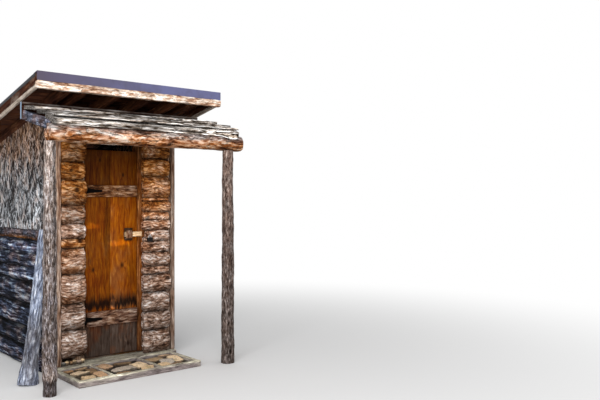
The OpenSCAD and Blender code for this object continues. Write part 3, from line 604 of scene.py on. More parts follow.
    # honey-brown planks, wet black above the lower batten, grey at the foot, and darker towards the top as
    # painted shade under the awning
    DOOR_PLANK = Timber(
        "wide_pine_plank", "4a1e00 743200 9a5404 cc8410", "1c120c 382a22 50423a 7c6e64",
        heights=((0.0, 1.0, 0.9), (0.35, 1.0, 1.0), (0.36, 0.5, 0.4), (0.46, 0.1, 1.0), (0.488, 0.15, 0.85),
        (0.512, 0.45, 0.07), (0.557, 0.35, 0.09), (0.6, 0.1, 0.5), (0.64, 0.0, 0.88), (1.25, 0.0, 1.0),
        (1.52, 0.0, 0.8), (1.62, 0.0, 0.5), (1.95, 0.05, 0.33)), ragged=0.036, streak_mm=15, stretch=11,
        blotch_mm=190, contrast=0.8, check_mm=70, check_depth=0.3, knots=((0.101, 0.094, 0.888, 0.014),
        (-0.183, 0.094, 0.861, 0.012), (-0.116, 0.094, 1.86, 0.01), (0.112, 0.094, 1.729, 0.011),
        (0.162, 0.094, 0.152, 0.012)), patches=((-0.19, 1.26, 0.07, 0.03, 0.9),
        (0.081, 1.095, 0.12, 0.03, 1.0), (-0.05, 1.25, 0.032, 0.34, -0.4), (-0.225, 0.8, 0.06, 0.12, 0.25),
        (0.03, 1.4, 0.05, 0.1, 0.25), (0.2, 0.8, 0.06, 0.16, -0.25), (0.01, 0.535, 0.024, 0.05, 3.2)),
        bump=0.25, roughness=0.7, stain="1c0a02")
    # rough sawn brown wood with torn dark grain
    DOOR_BATTEN = Timber(
        "sawn_batten", "1e0c02 6e3e1c a87244 e0b288", "1e1008 60443a 8a6e60 d0b8a6",
        heights=((0.0, 0.95, 0.72), (1.0, 0.5, 0.72), (2.5, 0.05, 0.85)), streak_mm=17, stretch=5.0,
        contrast=2.2, check_mm=34, plate_mm=30, plate_stretch=4.0, plate_share=0.3, plate_seam=0.4,
        knot_mm=160, knot_radius_mm=10, bump=0.7)
    # orange strip, darker where rain splashes it, and darker at its top as painted shade under the awning
    JAMB_WOOD = Timber(
        "jamb_strip", "341204 6c3812 985826 cc8a4c", "2a180e 563622 7a5234 a07852",
        heights=((0.0, 0.8, 0.55), (0.45, 0.5, 0.6), (0.7, 0.1, 0.95), (1.7, 0.1, 0.9), (1.95, 0.2, 0.45)),
        streak_mm=12, contrast=1.2, check_mm=45, bump=0.3)
    # pale wood polished by hands
    RUBBED_WOOD = Timber(
        "rubbed_bolt_wood", "a87444 d8ae80 f0d4b0 fff0d8", "806040 b09070 c8b090 d8c8b0",
        heights=((0.0, 0.0, 1.0), (2.5, 0.0, 1.0)), streak_mm=10, stretch=5.0, contrast=1.0, check_mm=45,
        check_depth=0.3, bump=0.3)
    # slate blue paint with dust, grading to a lighter, bluer painted reflection of the sky at the right
    ROOF_METAL = Metal(
        "painted_roof_steel", "4c4254", "4a4450", grime=0.5, grain_mm=160, reflected_right_end="62648c")
    # dull dark strip
    FLASHING_METAL = Metal("dark_edge_flashing", "15181f", "242830", grain_mm=90)
    # bright bluish zinc
    STRIP_METAL = Metal("galvanised_strip", "9cb4cc", "607080", metallic=0.6)
    # rough black iron with a breath of rust
    BLACK_IRON = Metal(
        "wrought_black_iron", "101010", "301a10", metallic=1.0, roughness=0.65, grain_mm=12, bump=0.4)
    # small bright highlights
    ZINC_WIRE = Metal("zinc_plated_wire", "dcdfe2", "8c8c88", metallic=0.9, roughness=0.35, grain_mm=8)
    # black enamel with worn brown edges
    LOCK_ENAMEL = Metal("black_lock_enamel", "161414", "34302c", metallic=0.6, roughness=0.45, grain_mm=10)
    # tan, grey and brown slabs with grit and a little moss
    FIELD_STONE = Stone("flat_field_stone", "4e3826 c09468 a8a098 f4d4a8 806446", "4c5024")
    # dark grit between the stones, near black as partly painted shade in the gaps
    GRAVEL = Stone("packed_gravel", "0c0704 20150c 3c2c1c", "343a16", moss_share=0.6, grit_mm=9)

    def get(self) -> bpy.types.Material:
        """Returns this finish's material, built once."""
        return bpy.data.materials.get(self.value.name) or self.value.material()


class Form(Enum):
    """How a length of wood is shaped across its grain."""

    BOARD = "board"
    HALF_LOG = "half_log"
    ROUND_LOG = "round_log"
    POLE = "pole"


def uneven(i: int, row: int = 0) -> float:
    """Returns the same repeatable uneven number from 0 to 1 that the CAD source uses."""
    return abs(math.sin(math.radians(i * 77.3 + row * 41.9 + 13)))


def smooth(value: float) -> float:
    """Eases a value from 0 to 1, clamped at both ends."""
    value = min(1.0, max(0.0, value))
    return value * value * (3 - 2 * value)


def swell(height: float) -> float:
    """Returns how far the face of a log of that height bulges, as in the CAD source."""
    return min(0.048, 0.28 * height)


def kept_in(point: Vector, low: Vector, high: Vector) -> Vector:
    """Returns the point, moved to the box's side where it lies outside."""
    return Vector(min(max(c, lo), hi) for c, lo, hi in zip(point, low, high))


def shaded(bm: bmesh.types.BMesh) -> list:
    """Gives a mesh its grain coordinates and its shades, and returns those layers."""
    return [bm.verts.layers.float_vector.new("grain"), *(bm.verts.layers.float.new(n) for n in SHADES)]


def rough_at(point: Vector, size: float, seed: float, stretch: float = 1.0) -> float:
    """Returns noise from about -1 to 1, its lumps `size` metres wide and `stretch` times longer along X."""
    spot = Vector((point.x / (size * stretch), point.y / size, point.z / size))
    return noise.noise(spot + Vector((seed * 7.31, seed * 3.17, seed * 5.77)))


@dataclass
class Stick:
    """One length of wood in its own frame: X along it, Y through its thickness, Z up its face.

    The face looks towards -Y. Lengths are in metres, and each wave, relief or groove has a depth and a size.
    """

    length: float
    depth: float
    height: float
    form: Form = Form.BOARD
    bulge: float = 0.0
    cell: float = 0.012
    cell_long: float = 2.0
    wave: float = 0.002
    wave_size: float = 0.12
    relief: float = 0.0015
    relief_size: float = 0.02
    groove: float = 0.0
    groove_size: float = 0.05
    # length of the rounded ends, and how much of it the corners lose
    round_end: float = 0.0
    corner: float = 0.6
    taper: float = 0.0
    edge: float = 0.003
    seed: float = 0.0
    # picks the shade, and how much older than its finish the wood looks
    tone: float = 0.5
    age: float = 0.0
    # how dark the painted shade on a log's lower half is, how dark the dirt and painted shade at the
    # edges and joints are, and where a joint's shade starts
    under: float = 0.0
    edge_dirt: float = 0.6
    seam: float = 0.8
    shape: Callable[[Vector], Vector] | None = None
    # how much painted shade darkens each part of the stick, from 0 to 1
    gaps: Callable[[Vector], float] | None = None
    room: tuple[Vector, Vector] | None = None

    def made(self, place: Matrix) -> bmesh.types.BMesh:
        """Makes the stick as a mesh of its own.

        Args:
            place: From the stick's own frame to the row frame.

        Returns:
            The mesh.
        """
        bm = bmesh.new()
        grain, tone, age, dirt_and_shade = shaded(bm)
        bmesh.ops.create_cube(bm, size=1.0, matrix=Matrix.Diagonal((self.length, self.depth, self.height, 1)))
        if self.form is Form.BOARD:
            self._board(bm)
        else:
            self._grid(bm)
        shift = Vector((self.seed * 1.37, self.seed * 0.71, self.seed * 0.53))
        for vert in bm.verts:
            vert[grain], vert[tone], vert[age] = vert.co + shift, self.tone, self.age
            # painted shade that the piece lays on chosen parts of the stick
            dark = self.gaps(vert.co) if self.gaps else 0.0
            co, deep = self._worked(vert.co)
            vert[dirt_and_shade] = max(deep, dark)
            vert.co = place @ (self.shape(co) if self.shape else co)
            if self.room:
                vert.co = kept_in(vert.co, *self.room)
        return bm

    def _board(self, bm: bmesh.types.BMesh) -> None:
        """Wears the box's edges and cuts it into short lengths along X.

        Args:
            bm: The plain box.
        """
        edge = min(self.edge, self.depth / 3, self.height / 3)
        bmesh.ops.bevel(
            bm, geom=bm.edges[:], offset=edge, offset_type="OFFSET", segments=2, profile=0.5, affect="EDGES",
            material=-1)
        self._cut(bm, 0, (self.length - 2 * edge) * 0.98, round(self.length / (self.cell * 2.5)))

    def _grid(self, bm: bmesh.types.BMesh) -> None:
        """Cuts the box into small oblongs on every side.

        Args:
            bm: The plain box.
        """
        cells = (self.cell * self.cell_long, self.cell, self.cell)
        for axis, size in enumerate((self.length, self.depth, self.height)):
            self._cut(bm, axis, size * 0.98, max(3, round(size / cells[axis])))

    @staticmethod
    def _cut(bm: bmesh.types.BMesh, axis: int, least: float, cuts: int) -> None:
        """Divides every edge that runs at least that far along axis 0, 1 or 2."""
        edges = [e for e in bm.edges if abs(e.verts[0].co[axis] - e.verts[1].co[axis]) >= least]
        bmesh.ops.subdivide_edges(bm, edges=edges, cuts=min(250, max(1, cuts)), use_grid_fill=True)

    def _worked(self, co: Vector) -> tuple[Vector, float]:
        """Moves one point of the plain box onto the worked wood's surface.

        Args:
            co: The point in the plain box.

        Returns:
            Its new place in the stick's own frame, and how much dirt and painted shade darken it, from 0 to
            1.
        """
        if self.form is Form.BOARD:
            rise = [self.wave * rough_at(co, self.wave_size * 3, self.seed + more, 2) for more in (0, 9)]
            return Vector((co.x, co.y + rise[0], co.z + rise[1])), 0.0
        a, b, c = 2 * co.x / self.length, 2 * co.y / self.depth, 2 * co.z / self.height
        near_end = smooth((1 - abs(a)) * self.length / 2 / self.round_end) if self.round_end else 1.0
        spread = 1 - self.taper * (a + 1) / 2
        x, y, z = co.x, co.y, co.z * spread
        joint = 0.0
        if self.form is Form.POLE:
            shrink = 0.93 + 0.07 * near_end
            y = b * math.sqrt(1 - c * c / 2) * self.depth / 2 * spread * shrink
            z = c * math.sqrt(1 - b * b / 2) * self.height / 2 * spread * shrink
        else:
            proud = self.bulge * (1 - abs(c) ** 2.6) * (0.5 + 0.5 * near_end)
            if self.form is Form.HALF_LOG:
                y = self.depth / 2 + (b - 1) / 2 * (self.depth + proud)
            else:
                y = b * (self.depth / 2 + proud)
            x -= math.copysign(self.round_end * self.corner * abs(c) ** 4, a) * smooth(abs(a) * 4 - 3)
            # dirt and painted shade at the joints or edges, and painted shade over the lower half of a log
            joint = smooth((abs(c) - self.seam) / 0.2) if self.bulge else self.edge_dirt * smooth(
                (abs(c) - 0.88) / 0.12)
            joint = max(joint, self.under * smooth((-c - 0.1) / 0.8))
        side = Vector((0, y, z * 0.6))
        # the middle of an end face has no side of its own
        if side.length > 1e-6:
            side.normalize()
        waves = rough_at(co, self.wave_size, self.seed, 2.0)
        fine = rough_at(co, self.relief_size, self.seed + 5, 3.0) + 0.6 * rough_at(
            co, self.relief_size / 2, self.seed + 8, 4.0)
        split = 0.0
        if self.groove:
            split = 1 - smooth(abs(rough_at(co, self.groove_size, self.seed + 3, 9.0)) / 0.16)
        out = Vector((x, y, z)) + side * (self.wave * waves + self.relief * fine - self.groove * split)
        if abs(a) > 0.98:
            out.x += math.copysign(self.relief * 2 * rough_at(Vector((0, y, z)), 0.03, self.seed + 2), a)
        # splits and low spots of the relief hold dirt and painted shade
        return out, max(joint, 0.85 * split, min(1.0, max(0.0, -0.5 * waves - 0.35 * fine)))


def frame_of(start: Vector, end: Vector, face: Vector) -> Matrix:
    """Turns a stick so that it runs between two points with its face towards a direction.

    Args:
        start: Where the stick's -X end goes.
        end: Where its +X end goes.
        face: Where its -Y face looks.

    Returns:
        The matrix from the stick's own frame to the row frame.
    """
    x = (end - start).normalized()
    y = -(face - face.dot(x) * x).normalized()
    turn = Matrix((x, y, x.cross(y))).transposed().to_4x4()
    return Matrix.Translation((start + end) / 2) @ turn


@dataclass
class Piece:
    """One object of the scene, joined from many sticks or stones of one finish."""

    name: str
    finish: Finish
    slot: str
    # the CAD node that it replaces, if any
    node: str = ""
    body: str = "house"
    bm: bmesh.types.BMesh = field(default_factory=bmesh.new)
    count: int = 0
    low: tuple = ()
    high: tuple = ()

    def __post_init__(self) -> None:
        """Prepares the mesh and reads the corners of the CAD node's box."""
        shaded(self.bm)
        if self.node:
            self.low, self.high = (tuple(corner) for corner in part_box(self.node))

    def stick(self, start: tuple, end: tuple, face: tuple, depth: float, height: float,
              **more: object) -> None:
        """Adds a stick between two points.

        Args:
            start: Middle of one end.
            end: Middle of the other end.
            face: Where the face looks.
            depth: Thickness behind the face.
            height: Width of the face.
            more: Other sizes of the stick.
        """
        a, b = Vector(start), Vector(end)
        i, row = self.count, len(self.name)
        looks = {"seed": i * 1.618 + row * 0.37, "tone": uneven(i, row)} | more
        stick = Stick((b - a).length, depth, height, **looks)
        self._join(stick.made(frame_of(a, b, Vector(face))))

    def box(self, low: tuple | None = None, high: tuple | None = None, axis: int = 0, face: tuple = FRONT,
            **more: object) -> None:
        """Adds a stick that fills a box, with its grain along an axis.

        Args:
            low: Lowest corner; the CAD node's, if not given.
            high: Highest corner; the CAD node's, if not given.
            axis: 0, 1 or 2, the grain's axis.
            face: Where the face looks, along another axis.
            more: Other sizes of the stick.
        """
        low, high = low or self.low, high or self.high
        start = [(a + b) / 2 for a, b in zip(high, low)]
        end = list(start)
        start[axis], end[axis] = low[axis], high[axis]
        through = next(i for i in range(3) if face[i])
        across = 3 - axis - through
        self.stick(start, end, face, high[through] - low[through], high[across] - low[across], **more)

    def stone(self, middle: tuple, size: tuple, turn: float, low: float, high: float, tone: float) -> None:
        """Adds one flat field stone.

        Args:
            middle: Its middle.
            size: Its three widths.
            turn: Its turn about Z, in degrees.
            low: No part lies under this height.
            high: No part stands over this height.
            tone: Picks its colour.
        """
        bm = bmesh.new()
        grain, shade, _, dirt_and_shade = shaded(bm)
        bmesh.ops.create_icosphere(bm, subdivisions=4, radius=0.5)
        seed = self.count * 2.3 + 0.7
        rock = Matrix.Rotation(math.radians(14 * math.sin(seed * 5)), 4, "X")
        place = Matrix.Translation(middle) @ Matrix.Rotation(math.radians(turn), 4, "Z") @ rock
        # straight broken sides, five to seven of them
        part = math.tau / (5 + self.count % 3)
        for vert in bm.verts:
            # pulling towards a box gives the split faces and blunt corners of field stone
            blunt = Vector(math.copysign(abs(2 * c) ** 0.5, c) / 2 for c in vert.co)
            off = (math.atan2(vert.co.y, vert.co.x) + seed) % part - part / 2
            side = 0.92 * math.cos(part / 2) / math.cos(off) + 0.2
            blunt.x, blunt.y = blunt.x * side, blunt.y * side
            lump = 1 + 0.3 * rough_at(vert.co, 0.45, seed) + 0.1 * rough_at(vert.co, 0.15, seed)
            co = Vector(b * s * lump for b, s in zip(blunt, size))
            vert[grain], vert[shade] = co + Vector((seed, seed * 0.4, 0)), tone
            # painted shade over the stone's sides and underside, leaving its top light
            vert[dirt_and_shade] = 0.9 * smooth(0.9 - 2.6 * (vert.co.z + 0.12 * rough_at(vert.co, 0.3, seed + 4)))
            co = place @ co
            co.z = min(max(co.z, low), high - 0.1 * max(0.0, high - co.z))
            vert.co = co
        self._join(bm)

    def _join(self, bm: bmesh.types.BMesh) -> None:
        """Moves the mesh of one stick or stone into the piece's own.

        Args:
            bm: That mesh, which is freed.
        """
        mesh = bpy.data.meshes.new("part")
        bm.to_mesh(mesh)
        bm.free()
        self.bm.from_mesh(mesh)
        bpy.data.meshes.remove(mesh)
        self.count += 1

    def finished(self) -> None:
        """Turns the mesh into a scene object that rides on its body."""
        for vert in self.bm.verts:
            vert.co = kept_in(vert.co, *CAD_BOX)
        bmesh.ops.recalc_face_normals(self.bm, faces=self.bm.faces)
        for face in self.bm.faces:
            face.smooth = True
        for edge in self.bm.edges:
            edge.smooth = len(edge.link_faces) == 2 and edge.calc_face_angle(0.0) < math.radians(42)
        mesh = bpy.data.meshes.new(self.name)
        self.bm.to_mesh(mesh)
        self.bm.free()
        mesh.materials.append(self.finish.get())
        obj = bpy.data.objects.new(self.name, mesh)
        bpy.context.scene.collection.objects.link(obj)
        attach(obj, self.body)
        if self.node:
            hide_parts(self.node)
        LOG.info("%s: %d faces", self.name, len(mesh.polygons))


def coat(finish: Finish, *nodes: str) -> None:
    """Gives CAD nodes that keep their shape their finish.

    Args:
        finish: The finish.
        nodes: The nodes' names.
    """
    for node in nodes:
        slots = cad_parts[node].data.materials
        slots.clear()
        slots.append(finish.get())
        LOG.info("%s: CAD solid kept", node)


@dataclass
class Walls:
    """The side and back walls: round logs below, a rail, and upright bark slabs above."""

    courses: tuple[float, ...] = (0.18, 0.17, 0.21, 0.215, 0.12, 0.13, 0.115)
    log_thickness: float = 0.16
    rail_thickness: float = 0.11
    # how far each log and slab reaches into the next ones, so that no light shows between them
    log_lap: float = 0.012
    slab_lap: float = 0.01
    slab_thickness: float = 0.028

    def build(self) -> None:
        """Builds the three walls and their rails."""
        for side, name in ((-1, "left"), (1, "right")):
            self.logs(name, (side, 0, 0))
            self.slabs(name, (side, 0, 0), 13, ROOF_PITCH)
        self.rails()
        self.logs("back", BACK)
        self.slabs("back", BACK, 11, 0.0)

    def logs(self, name: str, face: tuple) -> None:
        """Builds one wall's round logs.

        Args:
            name: Name of the wall.
            face: Where the wall looks.
        """
        piece = Piece(f"{name}_round_logs", Finish.WALL_LOG, "wall_logs", f"{name}_wall_logs")
        along = 1 if face[0] else 0
        ends = [[(a + b) / 2 for a, b in zip(piece.low, piece.high)] for _ in range(2)]
        ends[0][along], ends[1][along] = piece.low[along], piece.high[along]
        z, scale = piece.low[2], (piece.high[2] - piece.low[2]) / sum(self.courses)
        for course in self.courses:
            h = course * scale
            bulge = swell(h)
            ends[0][2] = ends[1][2] = z + h / 2
            # under paints shade over each log's lower half; seam sets where the dirt and painted shade of its
            # joints start
            piece.stick(
                *ends, face, self.log_thickness - 2 * bulge, h + self.log_lap, form=Form.ROUND_LOG,
                bulge=bulge - 0.004, under=0.6, seam=0.62, cell=0.02, wave=0.01, wave_size=0.11,
                relief=0.004, relief_size=0.03, round_end=0.02, corner=0.1)
            z += h
        piece.finished()

    def slabs(self, name: str, face: tuple, count: int, pitch: float) -> None:
        """Builds one wall's upright bark slabs, cut to the roof's slope.

        Args:
            name: Name of the wall.
            face: Where the wall looks.
            count: Number of slabs.
            pitch: Fall of the slabs' tops along the wall, in radians.
        """
        piece = Piece(f"{name}_bark_slabs", Finish.BARK_SLAB, "bark_slabs", f"{name}_wall_slabs")
        low, high = piece.low, piece.high
        out = 0 if face[0] else 1
        along, side, slope = 1 - out, face[out], math.tan(pitch)
        width = (high[along] - low[along]) / count
        for i in range(count):
            foot = [0.0, 0.0, low[2]]
            foot[along] = low[along] + (i + 0.5) * width
            foot[out] = (high if side > 0 else low)[out] - side * 0.015
            top = high[2] - slope * (foot[along] - low[along]) - (0.001 if pitch else 0.0)
            piece.stick(
                foot, (*foot[:2], top), face, self.slab_thickness, width + self.slab_lap, form=Form.HALF_LOG,
                cell=0.013, wave=0.005, wave_size=0.07, relief=0.005, relief_size=0.016,
                shape=lambda co: self._trimmed(co, side * slope))
        piece.finished()

    @staticmethod
    def _trimmed(co: Vector, rise: float) -> Vector:
        """Keeps a slab's face within the wall's thickness and cuts its top to the roof's slope.

        Args:
            co: A point in the slab's own frame, with the top at +X.
            rise: How much the top rises per metre across.

        Returns:
            The point moved.
        """
        co.y = max(co.y, -0.015)
        co.x += rise * co.z * smooth((co.x - 0.1) / 0.25)
        return co

    def rails(self) -> None:
        """Builds the rails between the logs and the slabs."""
        piece = Piece("hewn_rails", Finish.RAIL_LOG, "weathered_timber", "wall_rails")
        z0, z1, thick = piece.low[2], piece.high[2], self.rail_thickness
        look = dict(form=Form.HALF_LOG, cell=0.016, wave=0.004, relief=0.003, round_end=0.03, tone=0.4)
        front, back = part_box("left_wall_logs")
        for side in (-1, 1):
            outer = side * piece.high[0]
            x0, x1 = sorted((outer, outer - side * thick))
            piece.box((x0, front[1], z0), (x1, back[1], z1), 1, (side, 0, 0), **look)
        left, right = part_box("back_wall_logs")
        y = piece.high[1]
        piece.box((left[0], y - thick, z0), (right[0], y, z1), 0, BACK, **look)
        piece.finished()


@dataclass
class FrontWall:
    """The front: half logs left and right of the door, corner boards, header logs, sill, posts and jamb."""

    # height, tone and extra age of each log, from the lowest up
    left: tuple = (
        (0.238, 0.5, 0.25), (0.229, 0.6, 0.3), (0.259, 0.75, -0.15), (0.225, 0.5, -0.15), (0.084, 0.3, -0.45),
        (0.128, 0.95, 0.35), (0.168, 0.25, 0.1), (0.221, 0.6, -0.1), (0.159, 0.5, -0.1), (0.209, 0.35, 0.0))
    right: tuple = (
        (0.215, 0.35, 0.2), (0.176, 0.45, 0.2), (0.182, 0.4, 0.15), (0.168, 0.5, 0.15), (0.076, 0.55, 0.1),
        (0.134, 0.45, 0.15), (0.104, 0.5, 0.1), (0.105, 0.4, 0.1), (0.095, 0.45, 0.1), (0.076, 0.8, 0.0),
        (0.104, 0.6, 0.0), (0.029, 0.9, 0.1), (0.205, 0.65, 0.1), (0.166, 0.6, -0.05), (0.155, 0.2, 0.1))
    # where the logs start or end beside the door, and the right-hand ones' outer ends
    left_end: float = -0.292
    right_ends: tuple[float, float] = (0.266, 0.556)
    # the log beside the latch, and where its notch for the bolt ends and how high the log is under it
    latch_course: int = 7
    notch_end: float = 0.304
    notch_foot: float = 0.0405
    # inner sides of the corner boards, and left sides of the door posts
    board_x: tuple[float, float] = (-0.515, 0.568)
    post_x: tuple[float, float] = (-0.37, 0.335)
    post_width: float = 0.08
    # left, right, front and back of the stops and the jamb strip
    stops: tuple = ((-0.37, -0.244, 0.135, 0.155), (0.236, 0.415, 0.135, 0.155), (0.262, 0.335, 0.102, 0.135))
    half_width: float = 0.61
    back_y: float = 0.035
    header_z: float = 2.04
    header_height: float = 0.11

    def build(self) -> None:
        """Builds every piece of the front."""
        self.left_logs()
        self.right_logs()
        self.boards()
        self.doorway()

    def log(self, piece: Piece, x0: float, x1: float, z: float, h: float, **more: object) -> None:
        """Adds one half log to a piece.

        Args:
            piece: The piece that takes it.
            x0: Left end.
            x1: Right end.
            z: Underside.
            h: Height.
            more: Other sizes of the stick.
        """
        # under paints shade over each log's lower half
        sizes = {"form": Form.HALF_LOG, "bulge": swell(h), "cell": 0.01, "wave": 0.006,
                 "wave_size": 0.07, "relief": 0.003, "round_end": 0.022, "under": 0.7}
        y, z = self.back_y / 2, z + h / 2
        piece.stick((x0, y, z), (x1, y, z), FRONT, self.back_y, h - 0.002, **sizes | more)

    def left_logs(self) -> None:
        """Builds the scalloped stack left of the door."""
        piece = Piece("left_log_stack", Finish.FRONT_LOG, "front_logs", "front_left_logs")
        z = self.header_z - sum(h for h, _, _ in self.left)
        for i, (h, tone, age) in enumerate(self.left):
            x1 = self.left_end - 0.016 * uneven(i, 4)
            self.log(piece, self.board_x[0], x1, z, h, tone=tone, age=age)
            z += h
        piece.finished()

    def right_logs(self) -> None:
        """Builds the hewn stack right of the door, and the notched log beside the latch."""
        stack = Piece("right_log_stack", Finish.FRONT_LOG, "front_logs", "front_right_logs")
        latch = Piece("notched_log", Finish.FRONT_LOG, "front_logs", "latch_log")
        z = self.header_z - sum(h for h, _, _ in self.right)
        for i, (h, tone, age) in enumerate(self.right):
            x0, x1 = self.right_ends[0] + 0.008 * uneven(i, 6), self.right_ends[1] - 0.02 * uneven(i, 7)
            look = {"tone": tone, "age": age}
            if i == self.latch_course:
                lap = self.notch_end + 0.006
                self.log(latch, self.notch_end, x1, z, h, seed=3.3, **look)
                self.log(latch, x0, lap, z, self.notch_foot, seed=3.3, bulge=0.022, round_end=0.008, **look)
            else:
                self.log(stack, x0, x1, z, h, **look)
            z += h
        stack.finished()
        latch.finished()

    def boards(self) -> None:
        """Builds the corner boards, the sill and the header logs over the door."""
        wide, back = self.half_width, self.back_y
        piece = Piece("upright_corner_boards", Finish.GREY_BOARD, "weathered_timber", "corner_boards")
        # the left board's light tone is painted light against the pole's shade, the right board's dark tone
        # painted shade
        for x0, x1, tone in ((-wide, self.board_x[0], 0.95), (self.board_x[1], wide, 0.1)):
            piece.box((x0, 0.0, 0.05), (x1, back, self.header_z), 2, edge=0.006, tone=tone)
        piece.finished()
        piece = Piece("hewn_sill", Finish.STEP_WOOD, "weathered_timber", "front_sill")
        piece.box(wave=0.001, edge=0.008)
        piece.finished()
        piece = Piece("header_log_pair", Finish.FRONT_LOG, "front_logs", "header_logs")
        self.log(piece, -wide, wide, self.header_z, self.header_height, wave=0.004)
        piece.box((-wide, -0.03, 2.151), (wide, back, piece.high[2]))
        piece.finished()

    def doorway(self) -> None:
        """Builds the door posts, the stops and the orange jamb strip."""
        piece = Piece("door_post_pair", Finish.FRAME_WOOD, "frame_timber", "door_posts")
        top = piece.high[2]
        for x in self.post_x:
            piece.box((x, self.back_y, 0.05), (x + self.post_width, 0.135, top), 2, BACK)
        piece.finished()
        piece = Piece("door_stop_strips", Finish.JAMB_WOOD, "door_wood", "door_stops")
        for x0, x1, y0, y1 in self.stops:
            piece.box((x0, y0, 0.06), (x1, y1, top), 2)
        piece.finished()


@dataclass
class Inside:
    """The posts that carry the walls, and the floor."""

    post_x: tuple[float, float] = (-0.58, 0.49)
    post_y: tuple[float, float] = (0.035, 1.32)
    planks: int = 7

    def build(self) -> None:
        """Builds the posts, plates, joists and floor boards."""
        piece = Piece("squared_corner_posts", Finish.GREY_BOARD, "frame_timber", "corner_posts")
        front_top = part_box("door_posts")[1][2]
        back_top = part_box("wall_plates")[0][2]
        for x in self.post_x:
            for y, foot, top in zip(self.post_y, (0.05, 0.0), (front_top, back_top)):
                piece.box((x, y, foot), (x + 0.09, y + 0.1, top), 2, (-1, 0, 0), edge=0.006)
        piece.finished()
        piece = Piece("floor_planks", Finish.FRAME_WOOD, "frame_timber", "floor_boards")
        low, high = piece.low, piece.high
        width = (high[1] - low[1]) / self.planks
        for i in range(self.planks):
            y = low[1] + i * width
            piece.box((low[0], y, low[2]), (high[0], y + width - 0.004, high[2]), 0, DOWN)
        piece.finished()
        coat(Finish.FRAME_WOOD, "floor_joists", "wall_plates")


@dataclass
class Roof:
    """The lean-to roof: ribbed sheet, metal trim, boards, rafters, barge boards and the pale fascia log."""

    # each size is a width across and a depth square to the slope
    rafter_x: tuple[float, ...] = (-0.587, -0.453, -0.151, 0.151, 0.453, 0.587)
    rafter_size: tuple[float, float] = (0.046, 0.097)
    barge_x: float = 0.8575
    barge_size: tuple[float, float] = (0.0235, 0.085)
    worn_strip_size: tuple[float, float] = (0.025, 0.033)
    flashing_x: float = 0.8712
    flashing_size: tuple[float, float] = (0.0016, 0.026)
    planks: int = 10
    plank_thickness: float = 0.021

    def build(self) -> None:
        """Builds the roof's pieces."""
        piece = Piece("roof_rafters", Finish.DARK_BOARD, "roof_timber", "rafters")
        for x in self.rafter_x:
            self.sloped(piece, x, *self.rafter_size)
        piece.finished()
        self.boards()
        piece = Piece("barge_board_pair", Finish.BARGE_BOARD, "roof_timber", "barge_boards")
        for x in (-self.barge_x, self.barge_x):
            self.sloped(piece, x, *self.barge_size)
            self.sloped(
                piece, x, *self.worn_strip_size, self.barge_size[1] - 0.001, age=1.0, tone=0.9, edge=0.006,
                wave=0.003)
        piece.finished()
        flashing = Piece(
            "edge_flashings", Finish.FLASHING_METAL, "roof_metal", low=piece.low, high=piece.high)
        for x in (-self.flashing_x, self.flashing_x):
            self.sloped(flashing, x, *self.flashing_size, edge=0.0004, wave=0.0)
        flashing.finished()
        piece = Piece("fascia_half_log", Finish.FASCIA_LOG, "fascia_bark", "fascia_log")
        piece.box(form=Form.HALF_LOG, cell=0.009, wave=0.008, wave_size=0.09, relief=0.003, round_end=0.01)
        piece.finished()
        coat(Finish.ROOF_METAL, "roof_sheet", "roof_trim")

    @staticmethod
    def sloped(piece: Piece, x: float, width: float, depth: float, under: float = 0.0,
               **more: object) -> None:
        """Adds one board that runs down the roof's slope, from end to end of the piece's box.

        Args:
            piece: The piece that takes it.
            x: Middle of the board.
            width: Width across.
            depth: Depth square to the slope.
            under: How far its top lies under the box's, square to the slope.
            more: Other sizes of the stick.
        """
        low, high = piece.low, piece.high
        top = high[2] - (under + depth / 2) / math.cos(ROOF_PITCH)
        foot = top - math.tan(ROOF_PITCH) * (high[1] - low[1])
        piece.stick((x, low[1], top), (x, high[1], foot), DOWN, depth - 0.001, width, **more)

    def boards(self) -> None:
        """Builds the boards under the sheet, laid along X."""
        piece = Piece("roof_planks", Finish.DARK_BOARD, "roof_timber", "roof_boards")
        low, high = piece.low, piece.high
        slope = math.tan(ROOF_PITCH)
        width = (high[1] - low[1]) / self.planks
        across = width / math.cos(ROOF_PITCH)
        for i in range(self.planks):
            y = low[1] + (i + 0.5) * width
            z = high[2] - 0.0112 - slope * (y - low[1])
            piece.stick(
                (low[0], y, z), (high[0], y, z), (0, -slope, -1), self.plank_thickness, across - 0.004,
                edge=0.002)
        piece.finished()


